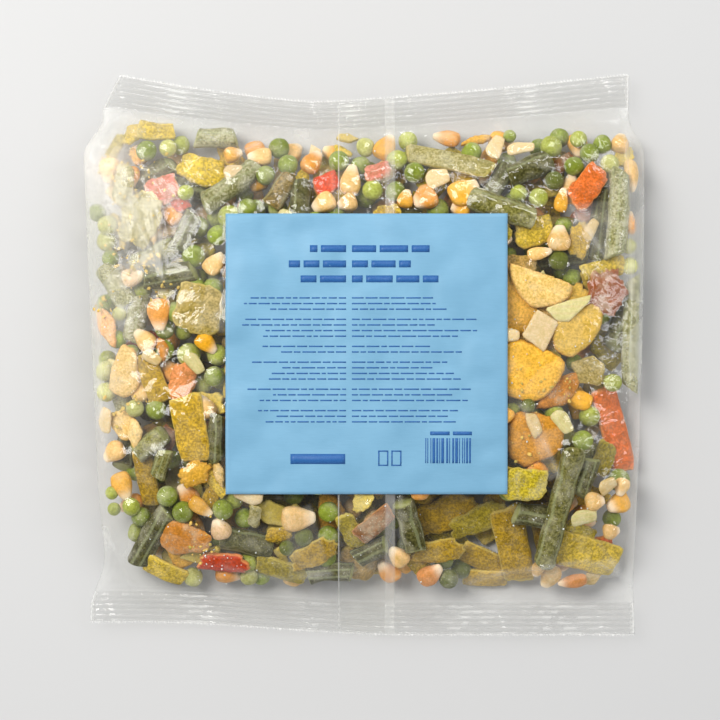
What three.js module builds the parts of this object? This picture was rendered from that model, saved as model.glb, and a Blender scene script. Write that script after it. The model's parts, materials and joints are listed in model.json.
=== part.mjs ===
// A sealed clear pillow bag of frozen mixed vegetables, lying on its back with its square label up.
// The bag is one closed solid out to its film: a full body with rounded sides, a crimped flat seal at
// each end, an overlap seam down the front, and the lumps that the vegetables press into the film.
// The label is a thin separate sheet on the front.
// Millimetres. X runs across the bag, Y from the bottom seal to the top seal, Z up from the table.
import * as THREE from "three";

// The bag
const HALF_LENGTH = 105.7;
const CRIMP_DEPTH = 12.4;
const CRIMP_BANDS = 12;
const CRIMP_RELIEF = 0.3;
// The side edges, as distances from the middle line: each slants by its flare and is bowed, and the
// left one has its corner cut at the top seal and is drawn in just over the bottom seal.
const LEFT_EDGE = { middle: 102.73, flare: 0.043, bow: 0, topSeal: 98.8, bottomSeal: 103.5 };
const RIGHT_EDGE = { middle: 105, flare: 0.0245, bow: 0.00016, topSeal: 100.3, bottomSeal: 102.4 };
const TOP_CORNER_CUT = 6.3;
const DRAWN_IN = { depth: 1.2, at: -74, spread: 14 };
const BODY_HEIGHT = 28;
const WIDEST_AT = 11;
const CROWN = 1.6;
const SIDE_ROUNDNESS = 7;
const END_ROUNDNESS = 3.4;
const SEAL_ROOT_HEIGHT = 6.5;
const SEAL_DROOP = 2.3;
const SEAL_HALF_THICKNESS = 0.4;
const CORNER_LIFT = 3.2;
const TOP_EDGE_DIP = { depth: 10, at: -18, reachLeft: 76, reachRight: 115 };
const BOTTOM_EDGE_RISE = { height: 5, from: -85, to: 15 };

// The overlap seam, where one side edge of the film lies on the other
const SEAM = { left: -9.75, right: 11.6, step: 0.35, slope: 0.3 };

// The label, in the middle of the front
const LABEL = { width: 105.4, length: 105, x: 0.95, y: 0.4, thickness: 0.25, gap: 0.3, divisions: 20 };
const FLATTER_UNDER_LABEL = 0.22;

// Divisions of the bag's surface
const COLUMNS = { left: 21, seam: 6, right: 21 };
const BODY_ROWS = 50;
const CLOSER_AT_SIDES = 1.4;

// The largest pieces that press into the front: place of the middle, length, width and turn in
// degrees from the X axis, and for each kind how far it lifts the film.
const LARGE_PIECES = {
  potato_slices: { lift: 2.6, lying: [
    [65, 26.5, 24, 17, -35], [56, 20.5, 22, 11, 80], [62, -5, 25, 23, 30], [81, 10, 22, 16, 50],
    [70, -12.5, 15, 11, 35], [62, -32, 21, 15, -70], [-67, -70, 19, 15, -10], [-66, -46, 17, 15, -30],
  ] },
  pepper_strips: { lift: 2.0, lying: [
    [-65, -27, 26, 12, -80], [56, -71.5, 30, 11, -80], [85, -75.5, 26, 12, -20], [38, -62.5, 35, 9, 22],
    [26, -60, 17, 15, 60], [27, -74, 20, 9, 5], [60, -48.5, 17, 12, -5], [-18, -75, 20, 9, 30],
    [-62, 70, 18, 13, -25], [-75, 60, 14, 12, -20], [63, 46, 17, 12, 15], [37, 69, 27, 7, -18],
    [95, -28, 33, 10, -72], [83, 62.5, 19, 10, 58], [-70, -11, 20, 10, 72], [91, 3.5, 18, 14, -50],
  ] },
  cut_beans: { lift: 2.4, lying: [
    [95, 53, 38, 8, 84], [100, 7.5, 40, 8, 85], [74, -49, 27, 8, 76], [16, -64.5, 18, 7, -75],
    [-79, -68.5, 24, 8, 58], [-81, -33, 14, 9, 35], [-85.5, 13, 18, 8, 85], [-94, 26, 20, 8, -48],
    [51, 55, 20, 8, -18], [66, 69, 18, 8, 20], [-44, -70.5, 15, 9, -15], [-83, 47, 22, 13, 70],
  ] },
};

// Peas and kernels everywhere between them
const SMALL_PIECES = { spacing: 9.5, size: 9, height: 0.9, scatter: 0.35, seed: 7 };

function smooth(from, to, value) {
  const t = THREE.MathUtils.clamp((value - from) / (to - from), 0, 1);
  return t * t * (3 - 2 * t);
}

// Repeatable random numbers from 0 to 1.
function randomFrom(seed) {
  let state = seed >>> 0;
  return () => {
    state = (Math.imul(state, 1664525) + 1013904223) >>> 0;
    return state / 4294967296;
  };
}

// A lump is a soft mound over one piece.
function lumpOf(x, y, length, width, turn, height) {
  const angle = THREE.MathUtils.degToRad(turn);
  return { x, y, height, along: length / 2, across: width / 2, cos: Math.cos(angle), sin: Math.sin(angle) };
}

function largeLumps() {
  return Object.values(LARGE_PIECES).flatMap(({ lift, lying }) =>
    lying.map(([x, y, length, width, turn]) => lumpOf(x, y, length, width, turn, lift)),
  );
}

function smallLumps() {
  const { spacing, size, height, scatter, seed } = SMALL_PIECES;
  const random = randomFrom(seed);
  const lumps = [];
  for (let y = -HALF_LENGTH + CRIMP_DEPTH; y < HALF_LENGTH - CRIMP_DEPTH; y += spacing) {
    for (let x = -LEFT_EDGE.middle; x < RIGHT_EDGE.middle; x += spacing) {
      const aside = (random() - 0.5) * 2 * scatter * spacing;
      const up = (random() - 0.5) * 2 * scatter * spacing;
      lumps.push(lumpOf(x + aside, y + up, size, size, 0, height * (0.4 + 0.6 * random())));
    }
  }
  return lumps;
}

const LUMPS = [...largeLumps(), ...smallLumps()];

// How far the pieces lift the film over a place on the front.
function lumpHeight(x, y) {
  let highest = 0;
  for (const lump of LUMPS) {
    const dx = x - lump.x;
    const dy = y - lump.y;
    const a = (dx * lump.cos + dy * lump.sin) / lump.along;
    const b = (dy * lump.cos - dx * lump.sin) / lump.across;
    const apart = a * a + b * b;
    if (apart < 4) highest = Math.max(highest, lump.height * Math.exp(-1.1 * apart));
  }
  const besideLabel = Math.abs(x - LABEL.x) - LABEL.width / 2;
  const beyondLabel = Math.abs(y - LABEL.y) - LABEL.length / 2;
  const offLabel = Math.max(besideLabel, beyondLabel);
  return highest * THREE.MathUtils.lerp(FLATTER_UNDER_LABEL, 1, smooth(-2, 7, offLabel));
}

// 0 at a crimp's inner edge and along the body, 1 at the cut edge.
const outward = (s) => THREE.MathUtils.clamp((Math.abs(s) - HALF_LENGTH + CRIMP_DEPTH) / CRIMP_DEPTH, 0, 1);

// 1 in the middle of the body, falling to 0 at the crimps.
function fullness(s) {
  const v = Math.min(1, Math.abs(s) / (HALF_LENGTH - CRIMP_DEPTH));
  return (1 - v ** END_ROUNDNESS) ** 0.75;
}

// A side edge's distance from the middle line; the bag narrows or widens into its seals.
function edgeAt({ middle, flare, bow, topSeal, bottomSeal }, s) {
  const body = middle + flare * s - bow * s * s;
  const upper = THREE.MathUtils.lerp(body, topSeal, smooth(75, 90, s));
  return THREE.MathUtils.lerp(upper, bottomSeal, smooth(80, 101, -s));
}

const leftEdge = (s) =>
  edgeAt(LEFT_EDGE, s) -
  TOP_CORNER_CUT * (s > 0 ? outward(s) : 0) -
  DRAWN_IN.depth * Math.exp(-(((s - DRAWN_IN.at) / DRAWN_IN.spread) ** 2));
const rightEdge = (s) => edgeAt(RIGHT_EDGE, s);

// A place across the bag: u runs from -1 at the left edge to 1 at the right edge.
const halfWidth = (s) => (leftEdge(s) + rightEdge(s)) / 2;
const middleX = (s) => (rightEdge(s) - leftEdge(s)) / 2;

// Where a row's point lies along the bag: the cut edges are bowed, and the rows near them follow.
function yAt(s, x) {
  const { depth, at, reachLeft, reachRight } = TOP_EDGE_DIP;
  const reach = x < at ? reachLeft : reachRight;
  const dip = depth * (1 - Math.min(1, Math.abs(x - at) / reach) ** 1.33) * smooth(50, 108, s);
  const { height, from, to } = BOTTOM_EDGE_RISE;
  const rise = height * (1 - smooth(from, to, x)) * smooth(50, 108, -s);
  return s - dip + rise;
}

// Height of the line where front and back meet.
function middleHeight(s, x, u) {
  const body = THREE.MathUtils.lerp(SEAL_ROOT_HEIGHT, WIDEST_AT, fullness(s));
  const t = outward(s);
  const wave = 1.0 * Math.sin(x / 17 + Math.sign(s)) + 0.5 * Math.sin(x / 8.5);
  return body + t * (wave - SEAL_DROOP + CORNER_LIFT * u ** 4);
}

const overSeam = (x) =>
  Math.min(smooth(SEAM.left - SEAM.slope, SEAM.left, x), 1 - smooth(SEAM.right, SEAM.right + SEAM.slope, x));

// A point of the front (side 1) or the back (side -1).
function surfacePoint(s, u, side, crimp) {
  const x = middleX(s) + u * halfWidth(s);
  const y = yAt(s, x);
  const full = fullness(s);
  const middle = middleHeight(s, x, u);
  const round = Math.sqrt(Math.max(0, 1 - Math.abs(u) ** SIDE_ROUNDNESS));
  let z = middle;
  if (side > 0) {
    const rise = (BODY_HEIGHT - WIDEST_AT) * full - CROWN * full * u * u;
    const lift = lumpHeight(x, y) * smooth(0.1, 0.45, full) + SEAM.step * overSeam(x);
    z += (rise + SEAL_HALF_THICKNESS + lift) * round;
  } else {
    const flat = 1.12 * middle * smooth(0, 0.5, full);
    z -= (flat + SEAL_HALF_THICKNESS) * round;
  }
  return new THREE.Vector3(x, y, Math.max(0, z + crimp * CRIMP_RELIEF));
}

// Rows along the bag, as { s, crimp }: crimp is -1 or 1 by turns in the seals, and 0 in the body.
function rowsAlong() {
  const inner = HALF_LENGTH - CRIMP_DEPTH;
  const rows = [];
  for (let i = 0; i <= CRIMP_BANDS; i++)
    rows.push({ s: -HALF_LENGTH + (CRIMP_DEPTH * i) / CRIMP_BANDS, crimp: (i % 2) - 0.5 });
  for (let i = 1; i < BODY_ROWS; i++) {
    const t = (2 * i) / BODY_ROWS - 1;
    rows.push({ s: inner * (0.7 * t + 0.3 * Math.sin((Math.PI / 2) * t)), crimp: 0 });
  }
  for (let i = 0; i <= CRIMP_BANDS; i++)
    rows.push({ s: inner + (CRIMP_DEPTH * i) / CRIMP_BANDS, crimp: (i % 2) - 0.5 });
  return rows;
}

// Columns across the front, from u = -1 to 1, closer together at the sides and exact at the seam.
function columnsAcross() {
  const seamLeft = SEAM.left / LEFT_EDGE.middle;
  const seamRight = SEAM.right / LEFT_EDGE.middle;
  const slope = SEAM.slope / LEFT_EDGE.middle;
  const eased = (t) => 1 - (1 - t) ** CLOSER_AT_SIDES;
  const columns = [];
  for (let i = 0; i <= COLUMNS.left; i++) {
    const t = 1 - i / COLUMNS.left;
    columns.push(seamLeft - slope - (1 + seamLeft - slope) * eased(t));
  }
  for (let i = 0; i <= COLUMNS.seam; i++)
    columns.push(THREE.MathUtils.lerp(seamLeft, seamRight, i / COLUMNS.seam));
  for (let i = 0; i <= COLUMNS.right; i++)
    columns.push(seamRight + slope + (1 - seamRight - slope) * eased(i / COLUMNS.right));
  return columns;
}

// The front has every column and the back every second one; both share the two side edges.
function bagGeometry() {
  const rows = rowsAlong();
  const columns = columnsAcross();
  const last = columns.length - 1;
  const points = [];
  const faces = [];
  const front = [];
  const back = [];
  for (const { s, crimp } of rows) {
    const top = columns.map((u) => points.push(surfacePoint(s, u, 1, crimp)) - 1);
    front.push(top);
    back.push(
      columns
        .filter((_, k) => k % 2 === 0)
        .map((u, k, all) => {
          if (k === 0) return top[0];
          if (k === all.length - 1) return top[last];
          return points.push(surfacePoint(s, u, -1, crimp)) - 1;
        }),
    );
  }
  const quad = (a, b, c, d) => faces.push(a, b, c, a, c, d);
  for (let i = 0; i + 1 < rows.length; i++) {
    for (let k = 0; k < last; k++) quad(front[i][k], front[i][k + 1], front[i + 1][k + 1], front[i + 1][k]);
    for (let k = 0; 2 * k < last; k++) quad(back[i][k + 1], back[i][k], back[i + 1][k], back[i + 1][k + 1]);
  }
  const capped = (i, turned) => {
    const [top, low] = [front[i], back[i]];
    const face = (a, b, c) => (turned ? faces.push(a, c, b) : faces.push(a, b, c));
    for (let k = 0; 2 * k < last; k++) {
      const [a, b, c] = [top[2 * k], top[2 * k + 1], top[2 * k + 2]];
      if (low[k] !== a) face(low[k], b, a);
      face(low[k], low[k + 1], b);
      if (low[k + 1] !== c) face(low[k + 1], c, b);
    }
  };
  capped(0, false);
  capped(rows.length - 1, true);
  return meshGeometry(points, faces);
}

function meshGeometry(points, faces) {
  const geometry = new THREE.BufferGeometry().setFromPoints(points);
  geometry.setIndex(faces);
  geometry.computeVertexNormals();
  return geometry;
}

// The body's rows are nearly straight under the label, so s is found from y in a few steps.
function frontPoint(x, y) {
  let s = y;
  for (let i = 0; i < 6; i++) s += y - yAt(s, x);
  return surfacePoint(s, (x - middleX(s)) / halfWidth(s), 1, 0);
}

// The highest the front reaches round a place, as far as half the label's own divisions.
function highestNear(x, y) {
  const reach = (0.55 * LABEL.width) / LABEL.divisions;
  const steps = [-1, -0.5, 0, 0.5, 1];
  return Math.max(...steps.flatMap((a) => steps.map((b) => frontPoint(x + a * reach, y + b * reach).z)));
}

// A sheet of even thickness that follows the front of the bag, a gap above it.
function labelGeometry() {
  const { width, length, x, y, thickness, gap, divisions } = LABEL;
  const points = [];
  const faces = [];
  const end = divisions;
  const index = (layer, i, k) => (layer * (end + 1) + i) * (end + 1) + k;
  for (const layer of [0, 1]) {
    for (let i = 0; i <= divisions; i++) {
      for (let k = 0; k <= divisions; k++) {
        const px = x + (k / divisions - 0.5) * width;
        const py = y + (i / divisions - 0.5) * length;
        points.push(new THREE.Vector3(px, py, highestNear(px, py) + gap + layer * thickness));
      }
    }
  }
  const quad = (a, b, c, d) => faces.push(a, b, c, a, c, d);
  for (let i = 0; i < divisions; i++) {
    for (let k = 0; k < divisions; k++) {
      quad(index(1, i, k), index(1, i, k + 1), index(1, i + 1, k + 1), index(1, i + 1, k));
      quad(index(0, i, k + 1), index(0, i, k), index(0, i + 1, k), index(0, i + 1, k + 1));
    }
    quad(index(0, 0, i), index(0, 0, i + 1), index(1, 0, i + 1), index(1, 0, i));
    quad(index(0, end, i + 1), index(0, end, i), index(1, end, i), index(1, end, i + 1));
    quad(index(0, i + 1, 0), index(0, i, 0), index(1, i, 0), index(1, i + 1, 0));
    quad(index(0, i, end), index(0, i + 1, end), index(1, i + 1, end), index(1, i, end));
  }
  return meshGeometry(points, faces);
}

function namedMesh(name, geometry, color, roughness) {
  const mesh = new THREE.Mesh(geometry, new THREE.MeshStandardMaterial({ color, roughness, metalness: 0 }));
  mesh.name = name;
  return mesh;
}

const group = new THREE.Group();
group.add(namedMesh("bag", bagGeometry(), 0xb7b27a, 0.25));
group.add(namedMesh("label", labelGeometry(), 0x87bfe3, 0.5));

export default group;
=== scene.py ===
"""A sealed clear bag of frozen mixed vegetables with a plain blue label, seen from straight above.

Lengths are millimetres until a mesh is made. X runs across the bag, Y from the bottom seal to the top
seal and Z up from the table.
"""
import json
import math

import bpy
import numpy as np
from mathutils import Matrix, Vector

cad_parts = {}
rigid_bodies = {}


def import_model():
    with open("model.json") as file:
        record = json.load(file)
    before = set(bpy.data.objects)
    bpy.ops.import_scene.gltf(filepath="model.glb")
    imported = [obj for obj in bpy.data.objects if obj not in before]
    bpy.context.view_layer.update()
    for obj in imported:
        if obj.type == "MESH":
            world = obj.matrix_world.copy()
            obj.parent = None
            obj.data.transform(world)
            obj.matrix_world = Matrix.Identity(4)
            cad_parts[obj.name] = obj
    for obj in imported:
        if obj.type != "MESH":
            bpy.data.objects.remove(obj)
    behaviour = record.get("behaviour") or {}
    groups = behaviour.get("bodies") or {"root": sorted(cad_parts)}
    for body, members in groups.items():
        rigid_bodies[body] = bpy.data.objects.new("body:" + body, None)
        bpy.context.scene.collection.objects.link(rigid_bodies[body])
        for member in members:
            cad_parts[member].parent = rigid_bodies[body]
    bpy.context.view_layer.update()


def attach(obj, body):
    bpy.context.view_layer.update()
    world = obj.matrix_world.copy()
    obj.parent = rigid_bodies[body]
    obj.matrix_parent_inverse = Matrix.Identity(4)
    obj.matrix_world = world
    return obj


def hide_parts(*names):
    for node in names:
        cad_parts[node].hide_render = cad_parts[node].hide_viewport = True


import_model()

MM = 0.001
dice = np.random.default_rng(11)


# The form of the bag, as its solid has it

HALF_LENGTH = 105.7
CRIMP_DEPTH = 12.4
INNER = HALF_LENGTH - CRIMP_DEPTH
CRIMP_PITCH = 2 * CRIMP_DEPTH / 12
CRIMP_RELIEF = 0.2
LEFT_EDGE = dict(middle=102.73, flare=0.043, bow=0.0, top_seal=98.8, bottom_seal=103.5)
RIGHT_EDGE = dict(middle=105.0, flare=0.0245, bow=0.00016, top_seal=100.3, bottom_seal=102.4)
TOP_CORNER_CUT = 6.3
DRAWN_IN, DRAWN_IN_AT, DRAWN_IN_SPREAD = 1.2, -74.0, 14.0
BODY_HEIGHT = 28.0
WIDEST_AT = 11.0
CROWN = 1.6
SIDE_ROUNDNESS = 7
END_ROUNDNESS = 3.4
SEAL_ROOT_HEIGHT = 6.5
SEAL_DROOP = 2.3
SEAL_HALF_THICKNESS = 0.18
CORNER_LIFT = 3.2
DIP_DEPTH, DIP_AT, DIP_REACH_LEFT, DIP_REACH_RIGHT = 10.0, -18.0, 76.0, 115.0
RISE_HEIGHT, RISE_FROM, RISE_TO = 5.0, -85.0, 15.0
SEAM_LEFT, SEAM_RIGHT = -9.75, 11.6
WELD_LEFT = 8.2
LABEL_WIDTH, LABEL_LENGTH = 105.4, 105.0
LABEL_X, LABEL_Y = 0.95, 0.4


def smooth(low, high, value):
    t = np.clip((value - low) / (high - low), 0.0, 1.0)
    return t * t * (3 - 2 * t)


def lerp(a, b, t):
    return a + (b - a) * t


def outward(s):
    return np.clip((np.abs(s) - INNER) / CRIMP_DEPTH, 0, 1)


def fullness(s):
    v = np.minimum(1.0, np.abs(s) / INNER)
    return (1 - v**END_ROUNDNESS) ** 0.75


def edge_at(s, middle, flare, bow, top_seal, bottom_seal):
    """A side edge's distance from the middle line."""
    body = middle + flare * s - bow * s * s
    upper = lerp(body, top_seal, smooth(75, 90, s))
    return lerp(upper, bottom_seal, smooth(80, 101, -s))


def left_edge(s):
    waist = DRAWN_IN * np.exp(-(((s - DRAWN_IN_AT) / DRAWN_IN_SPREAD) ** 2))
    return edge_at(s, **LEFT_EDGE) - TOP_CORNER_CUT * outward(s) * (s > 0) - waist


def right_edge(s):
    return edge_at(s, **RIGHT_EDGE)


def half_width(s):
    return (left_edge(s) + right_edge(s)) / 2


def shift(s):
    return (right_edge(s) - left_edge(s)) / 2


def y_at(s, x):
    reach = np.where(x < DIP_AT, DIP_REACH_LEFT, DIP_REACH_RIGHT)
    dip = DIP_DEPTH * (1 - np.minimum(1, np.abs(x - DIP_AT) / reach) ** 1.33) * smooth(50, 108, s)
    rise = RISE_HEIGHT * (1 - smooth(RISE_FROM, RISE_TO, x)) * smooth(50, 108, -s)
    return s - dip + rise


def middle_height(s, x, u):
    body = lerp(SEAL_ROOT_HEIGHT, WIDEST_AT, fullness(s))
    wave = 1.0 * np.sin(x / 17 + np.sign(s)) + 0.5 * np.sin(x / 8.5)
    return body + outward(s) * (wave - SEAL_DROOP + CORNER_LIFT * u**4)


def roundness(u):
    return np.sqrt(np.maximum(0.0, 1 - np.abs(u) ** SIDE_ROUNDNESS))


def front_height(s, x, u):
    """The front without any lumps."""
    full = fullness(s)
    rise = (BODY_HEIGHT - WIDEST_AT) * full - CROWN * full * u * u
    return middle_height(s, x, u) + (rise + SEAL_HALF_THICKNESS) * roundness(u)


def back_height(s, x, u):
    middle = middle_height(s, x, u)
    flat = 1.12 * middle * smooth(0, 0.5, fullness(s))
    return np.maximum(0.0, middle - (flat + SEAL_HALF_THICKNESS) * roundness(u))


# Height fields over the table, one cell every half millimetre

CELL = 0.5
xs = np.arange(-108, 108 + CELL / 2, CELL)
ys = np.arange(-107, 107 + CELL / 2, CELL)
X, Y = np.meshgrid(xs, ys)


def s_of(x, y):
    """The row of the bag that a place belongs to."""
    s = np.array(y, float)
    for _ in range(7):
        s = s + y - y_at(s, x)
    return s


S = s_of(X, Y)
U = (X - shift(S)) / half_width(S)
in_body = (np.abs(U) < 0.992) & (np.abs(S) < INNER - 0.5)
Uc = np.clip(U, -1, 1)
Sc = np.clip(S, -INNER, INNER)
film_base = np.where(in_body, front_height(Sc, X, Uc), middle_height(Sc, X, Uc))
back_base = np.where(in_body, back_height(Sc, X, Uc), middle_height(Sc, X, Uc))


def neighbours(field):
    """The sum of the four cells next to each cell."""
    p = np.pad(field, 1, mode="edge")
    return p[:-2, 1:-1] + p[2:, 1:-1] + p[1:-1, :-2] + p[1:-1, 2:]


def blurred(field, cells):
    """A soft blur by repeated averaging, about as wide as the number of cells."""
    for _ in range(int(cells * cells / 2) + 1):
        field = (neighbours(field) + 4 * field) / 8
    return field


def highest_near(field, reach, step=1):
    """The highest value within some cells of each cell."""
    p = np.pad(field, reach, mode="edge")
    tall, wide = field.shape
    offsets = range(0, 2 * reach + 1, step)
    return np.maximum.reduce([p[dy:dy + tall, dx:dx + wide] for dy in offsets for dx in offsets])


def sample(field, x, y):
    """The field's value at any place, between the cells."""
    fx = np.clip((x - xs[0]) / CELL, 0, len(xs) - 1.001)
    fy = np.clip((y - ys[0]) / CELL, 0, len(ys) - 1.001)
    ix = fx.astype(int)
    iy = fy.astype(int)
    tx = fx - ix
    ty = fy - iy
    low = lerp(field[iy, ix], field[iy, ix + 1], tx)
    high = lerp(field[iy + 1, ix], field[iy + 1, ix + 1], tx)
    return lerp(low, high, ty)


def value_noise(x, y, size, seed):
    """Smooth noise from 0 to 1 whose features are about `size` across."""
    table = np.random.default_rng(seed).random((64, 64))
    fx = x / size + 500.3
    fy = y / size + 500.7
    ix = np.floor(fx).astype(int)
    iy = np.floor(fy).astype(int)
    tx = smooth(0, 1, fx - ix)
    ty = smooth(0, 1, fy - iy)
    low = lerp(table[iy % 64, ix % 64], table[iy % 64, (ix + 1) % 64], tx)
    high = lerp(table[(iy + 1) % 64, ix % 64], table[(iy + 1) % 64, (ix + 1) % 64], tx)
    return lerp(low, high, ty)


# Where food lies: the film is empty along its side edges, most at the corners, and near both seals.
empty_left = 1.2 + 6 * smooth(55, 82, S) + 1.5 * smooth(20, 50, -S) + 9 * smooth(62, 84, -S)
empty_right = 1.0 + 1.5 * smooth(20, 45, S) + 1.5 * smooth(12, 35, -S) + 6 * smooth(60, 86, -S)
empty_top = 0.8 + 4 * smooth(35, 95, np.abs(X - DIP_AT))
EMPTY_BOTTOM = 2.4
with_food = in_body & (X > empty_left - left_edge(S)) & (X < right_edge(S) - empty_right)
with_food &= (S < INNER - empty_top) & (S > EMPTY_BOTTOM - INNER)

# Where the film stands off the food: down the left side, at the right edge, near both seals and in a
# few pockets.  1 is fully loose.
loose = np.maximum.reduce([
    (1 - smooth(-93, -73, X)) * smooth(-62, -40, Y) * (1 - 0.5 * smooth(60, 85, Y)),
    smooth(97, 103, X),
    smooth(INNER - 9, INNER - 2, np.abs(S)),
    0.8 * (1 - smooth(0.5, 1.0, np.hypot((X - 83) / 8, (Y - 46) / 12))),
    0.7 * (1 - smooth(0.5, 1.0, np.hypot((X + 60) / 14, (Y - 46) / 22))),
    0.6 * (1 - smooth(0.5, 1.0, np.hypot((X + 92) / 12, (Y + 70) / 12))),
])
loose *= 0.55 + 0.45 * value_noise(X, Y, 9, 3)


# The pieces that show, in the order in which they press against the film.
# Each is (x, y, length, width, turn in degrees, shade), and for a shape of its own its name; a pea is
# (x, y, size, shade).

PEAS = [
    (-28.5, 71.5, 8, "green"), (-32, 78, 8, "green"), (-37, 67.5, 7.5, "green"), (-82, 77, 8, "green"),
    (-74, 78, 6.5, "pale"), (-9.5, 73, 8, "green"), (-43.5, 55, 7.5, "green"), (-67, 61, 6, "light"),
    (-96.5, 49, 8, "pale"), (-97, 43, 8, "pale"), (-62.5, 48, 8.5, "light"), (-64, 37, 9, "green"),
    (-55, 45, 8, "fresh"), (-56.5, 25, 8, "fresh"), (-92, 15.5, 5.5, "pale"), (-70.5, 16, 8, "green"),
    (-75, 2, 8, "green"), (-55, 0, 8, "light"), (-56, -8, 8, "green"), (-97.5, -6, 8, "pale"),
    (-97, -14, 7.5, "pale"), (-86, -20, 7, "pale"), (-78, -20.5, 8, "green"), (-74, -53, 8, "fresh"),
    (-68, -59, 8.5, "green"), (-95, -52, 5, "light"), (-94, -58, 5, "light"), (-87.5, -57, 7, "light"),
    (-84, -61, 7.5, "green"), (-53, -58, 8, "green"), (-64.5, -84, 7.5, "pale"), (-43.5, -83.5, 7, "pale"),
    (-22.5, -68.5, 7.5, "dark"), (-29, -72.5, 6, "dark"), (32, -84.5, 7.5, "dark"), (37, -81, 8, "dark"),
    (0.5, 78.5, 7.5, "pale"), (12.5, 73.5, 8, "light"), (19, 68.5, 8, "green"), (40.5, 76.5, 8, "fresh"),
    (54, 73, 7.5, "fresh"), (55, 82.5, 5, "fresh"), (70.5, 78.5, 8.5, "light"), (81, 81.5, 6.5, "light"),
    (90, 79.5, 7.5, "fresh"), (85, 76, 7.5, "green"), (79, 71, 7.5, "green"), (92.5, 72, 7.5, "pale"),
    (65.5, 59, 7.5, "light"), (71.5, 65.5, 7.5, "dark"), (55, 38, 5.5, "green"), (73, 35.5, 8, "dark"),
    (99.5, 41, 6.5, "pale"), (100, 33.5, 6.5, "pale"), (85, -23, 8, "light"), (82, -32, 8, "fresh"),
    (71.5, -22.5, 8, "light"), (61.5, -19, 5.5, "dark"),
]
CORN = [
    (-25, -61.5, 14, 10, 0, "pale"), (-49.5, 75.5, 7.5, 6, 20, "yellow"), (-39, 74.5, 10, 7, 10, "pale"),
    (-19.5, 72.5, 10.5, 7.5, 60, "orange"), (-15, 57, 10, 8, 30, "pale"), (-5, 65.5, 13, 8, 85, "pale"),
    (-6, 57, 8, 7, 20, "pale"), (-56, 34, 10.5, 7.5, 45, "pale"), (-77, 15.5, 13, 9, 90, "orange"),
    (-82, 5.5, 10.5, 7.5, -50, "pale"), (-87, 29, 9, 7, 10, "pink"), (-59, 4.5, 10, 7, -40, "bright"),
    (-61.5, -57, 11, 6, -38, "yellow"), (-54, -65.5, 9, 8, -70, "pink"), (15.5, 58.5, 7.5, 6, 80, "yellow"),
    (23, 59, 10, 10, 30, "orange"), (37.5, 61, 13, 10, 30, "yellow"), (36.5, 54.5, 8, 7, -20, "bright"),
    (74, 58, 10, 5.5, 80, "yellow"), (73, 43.5, 10.5, 9, 90, "pale"), (65.5, 38, 10, 5, 10, "pale"),
    (96.5, 80, 8, 7, 80, "pale"), (102.5, 68, 13.5, 5.5, 88, "pale"), (100, 49.5, 9.5, 4.5, 85, "orange"),
    (80, -16.5, 14, 7.5, -20, "bright"), (71.5, -31, 10.5, 5.5, 85, "orange"),
    (53.5, -23, 7, 5, 60, "yellow"), (86.5, -55, 8, 7.5, 10, "pale"), (97, -49.5, 7.5, 5.5, 70, "pale"),
    (96, -56, 10, 8, 20, "yellow"),
    (93, -66.5, 7, 6, 0, "pale"), (65.5, -81, 6, 5, 80, "pale"), (25, -83, 11, 7.5, 40, "salmon"),
    (79, -85.5, 12, 5, 10, "salmon"),
]
BEANS = [
    (73.5, -57, 44, 8.6, 77, "mid"), (95, 53.5, 33, 8, 84, "frosty"), (89.5, 48.5, 28, 7.5, 82, "dark"),
    (101.3, 8, 42, 7, 88, "frosty"), (-56, 82, 15, 7.5, 0, "frosty"), (-50.5, 64, 24, 8.5, 38, "frosty"),
    (-31.5, 61, 13, 8, 60, "brown"), (-24, 58.5, 13, 7.5, 85, "dark"), (-73, 30.5, 19, 8.5, 8, "dark"),
    (-93, 26, 16, 9, -55, "frosty"), (-85.5, 13.5, 18, 8.6, 82, "grey"), (-80.5, -33.5, 13.5, 8, 35, "mid"),
    (-76, -41, 10.5, 6, 70, "mid"), (-55, -31, 17, 6, 88, "dark"), (-79, -68.5, 24, 9, 60, "dark"),
    (-44.5, -70.5, 18, 9.5, -15, "dark"), (17, -64.5, 20, 8.5, -75, "dark"), (2.5, -74, 13, 7.5, 30, "dark"),
    (62, 70, 16, 9, 25, "dark"), (52, 55, 24, 9, -20, "mid"), (83, -46, 14, 8, 72, "dark"),
    (64, -60.5, 14, 8.5, -10, "dark"), (-48, 20.5, 19, 8, 70, "dark"), (-13, -82.5, 17, 7.5, 5, "dark"),
    (51, 65.5, 15, 7.5, 60, "dark"), (-67, 46, 15, 7.5, 65, "dark"), (97, 11, 17, 8, 62, "dark"),
]
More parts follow.
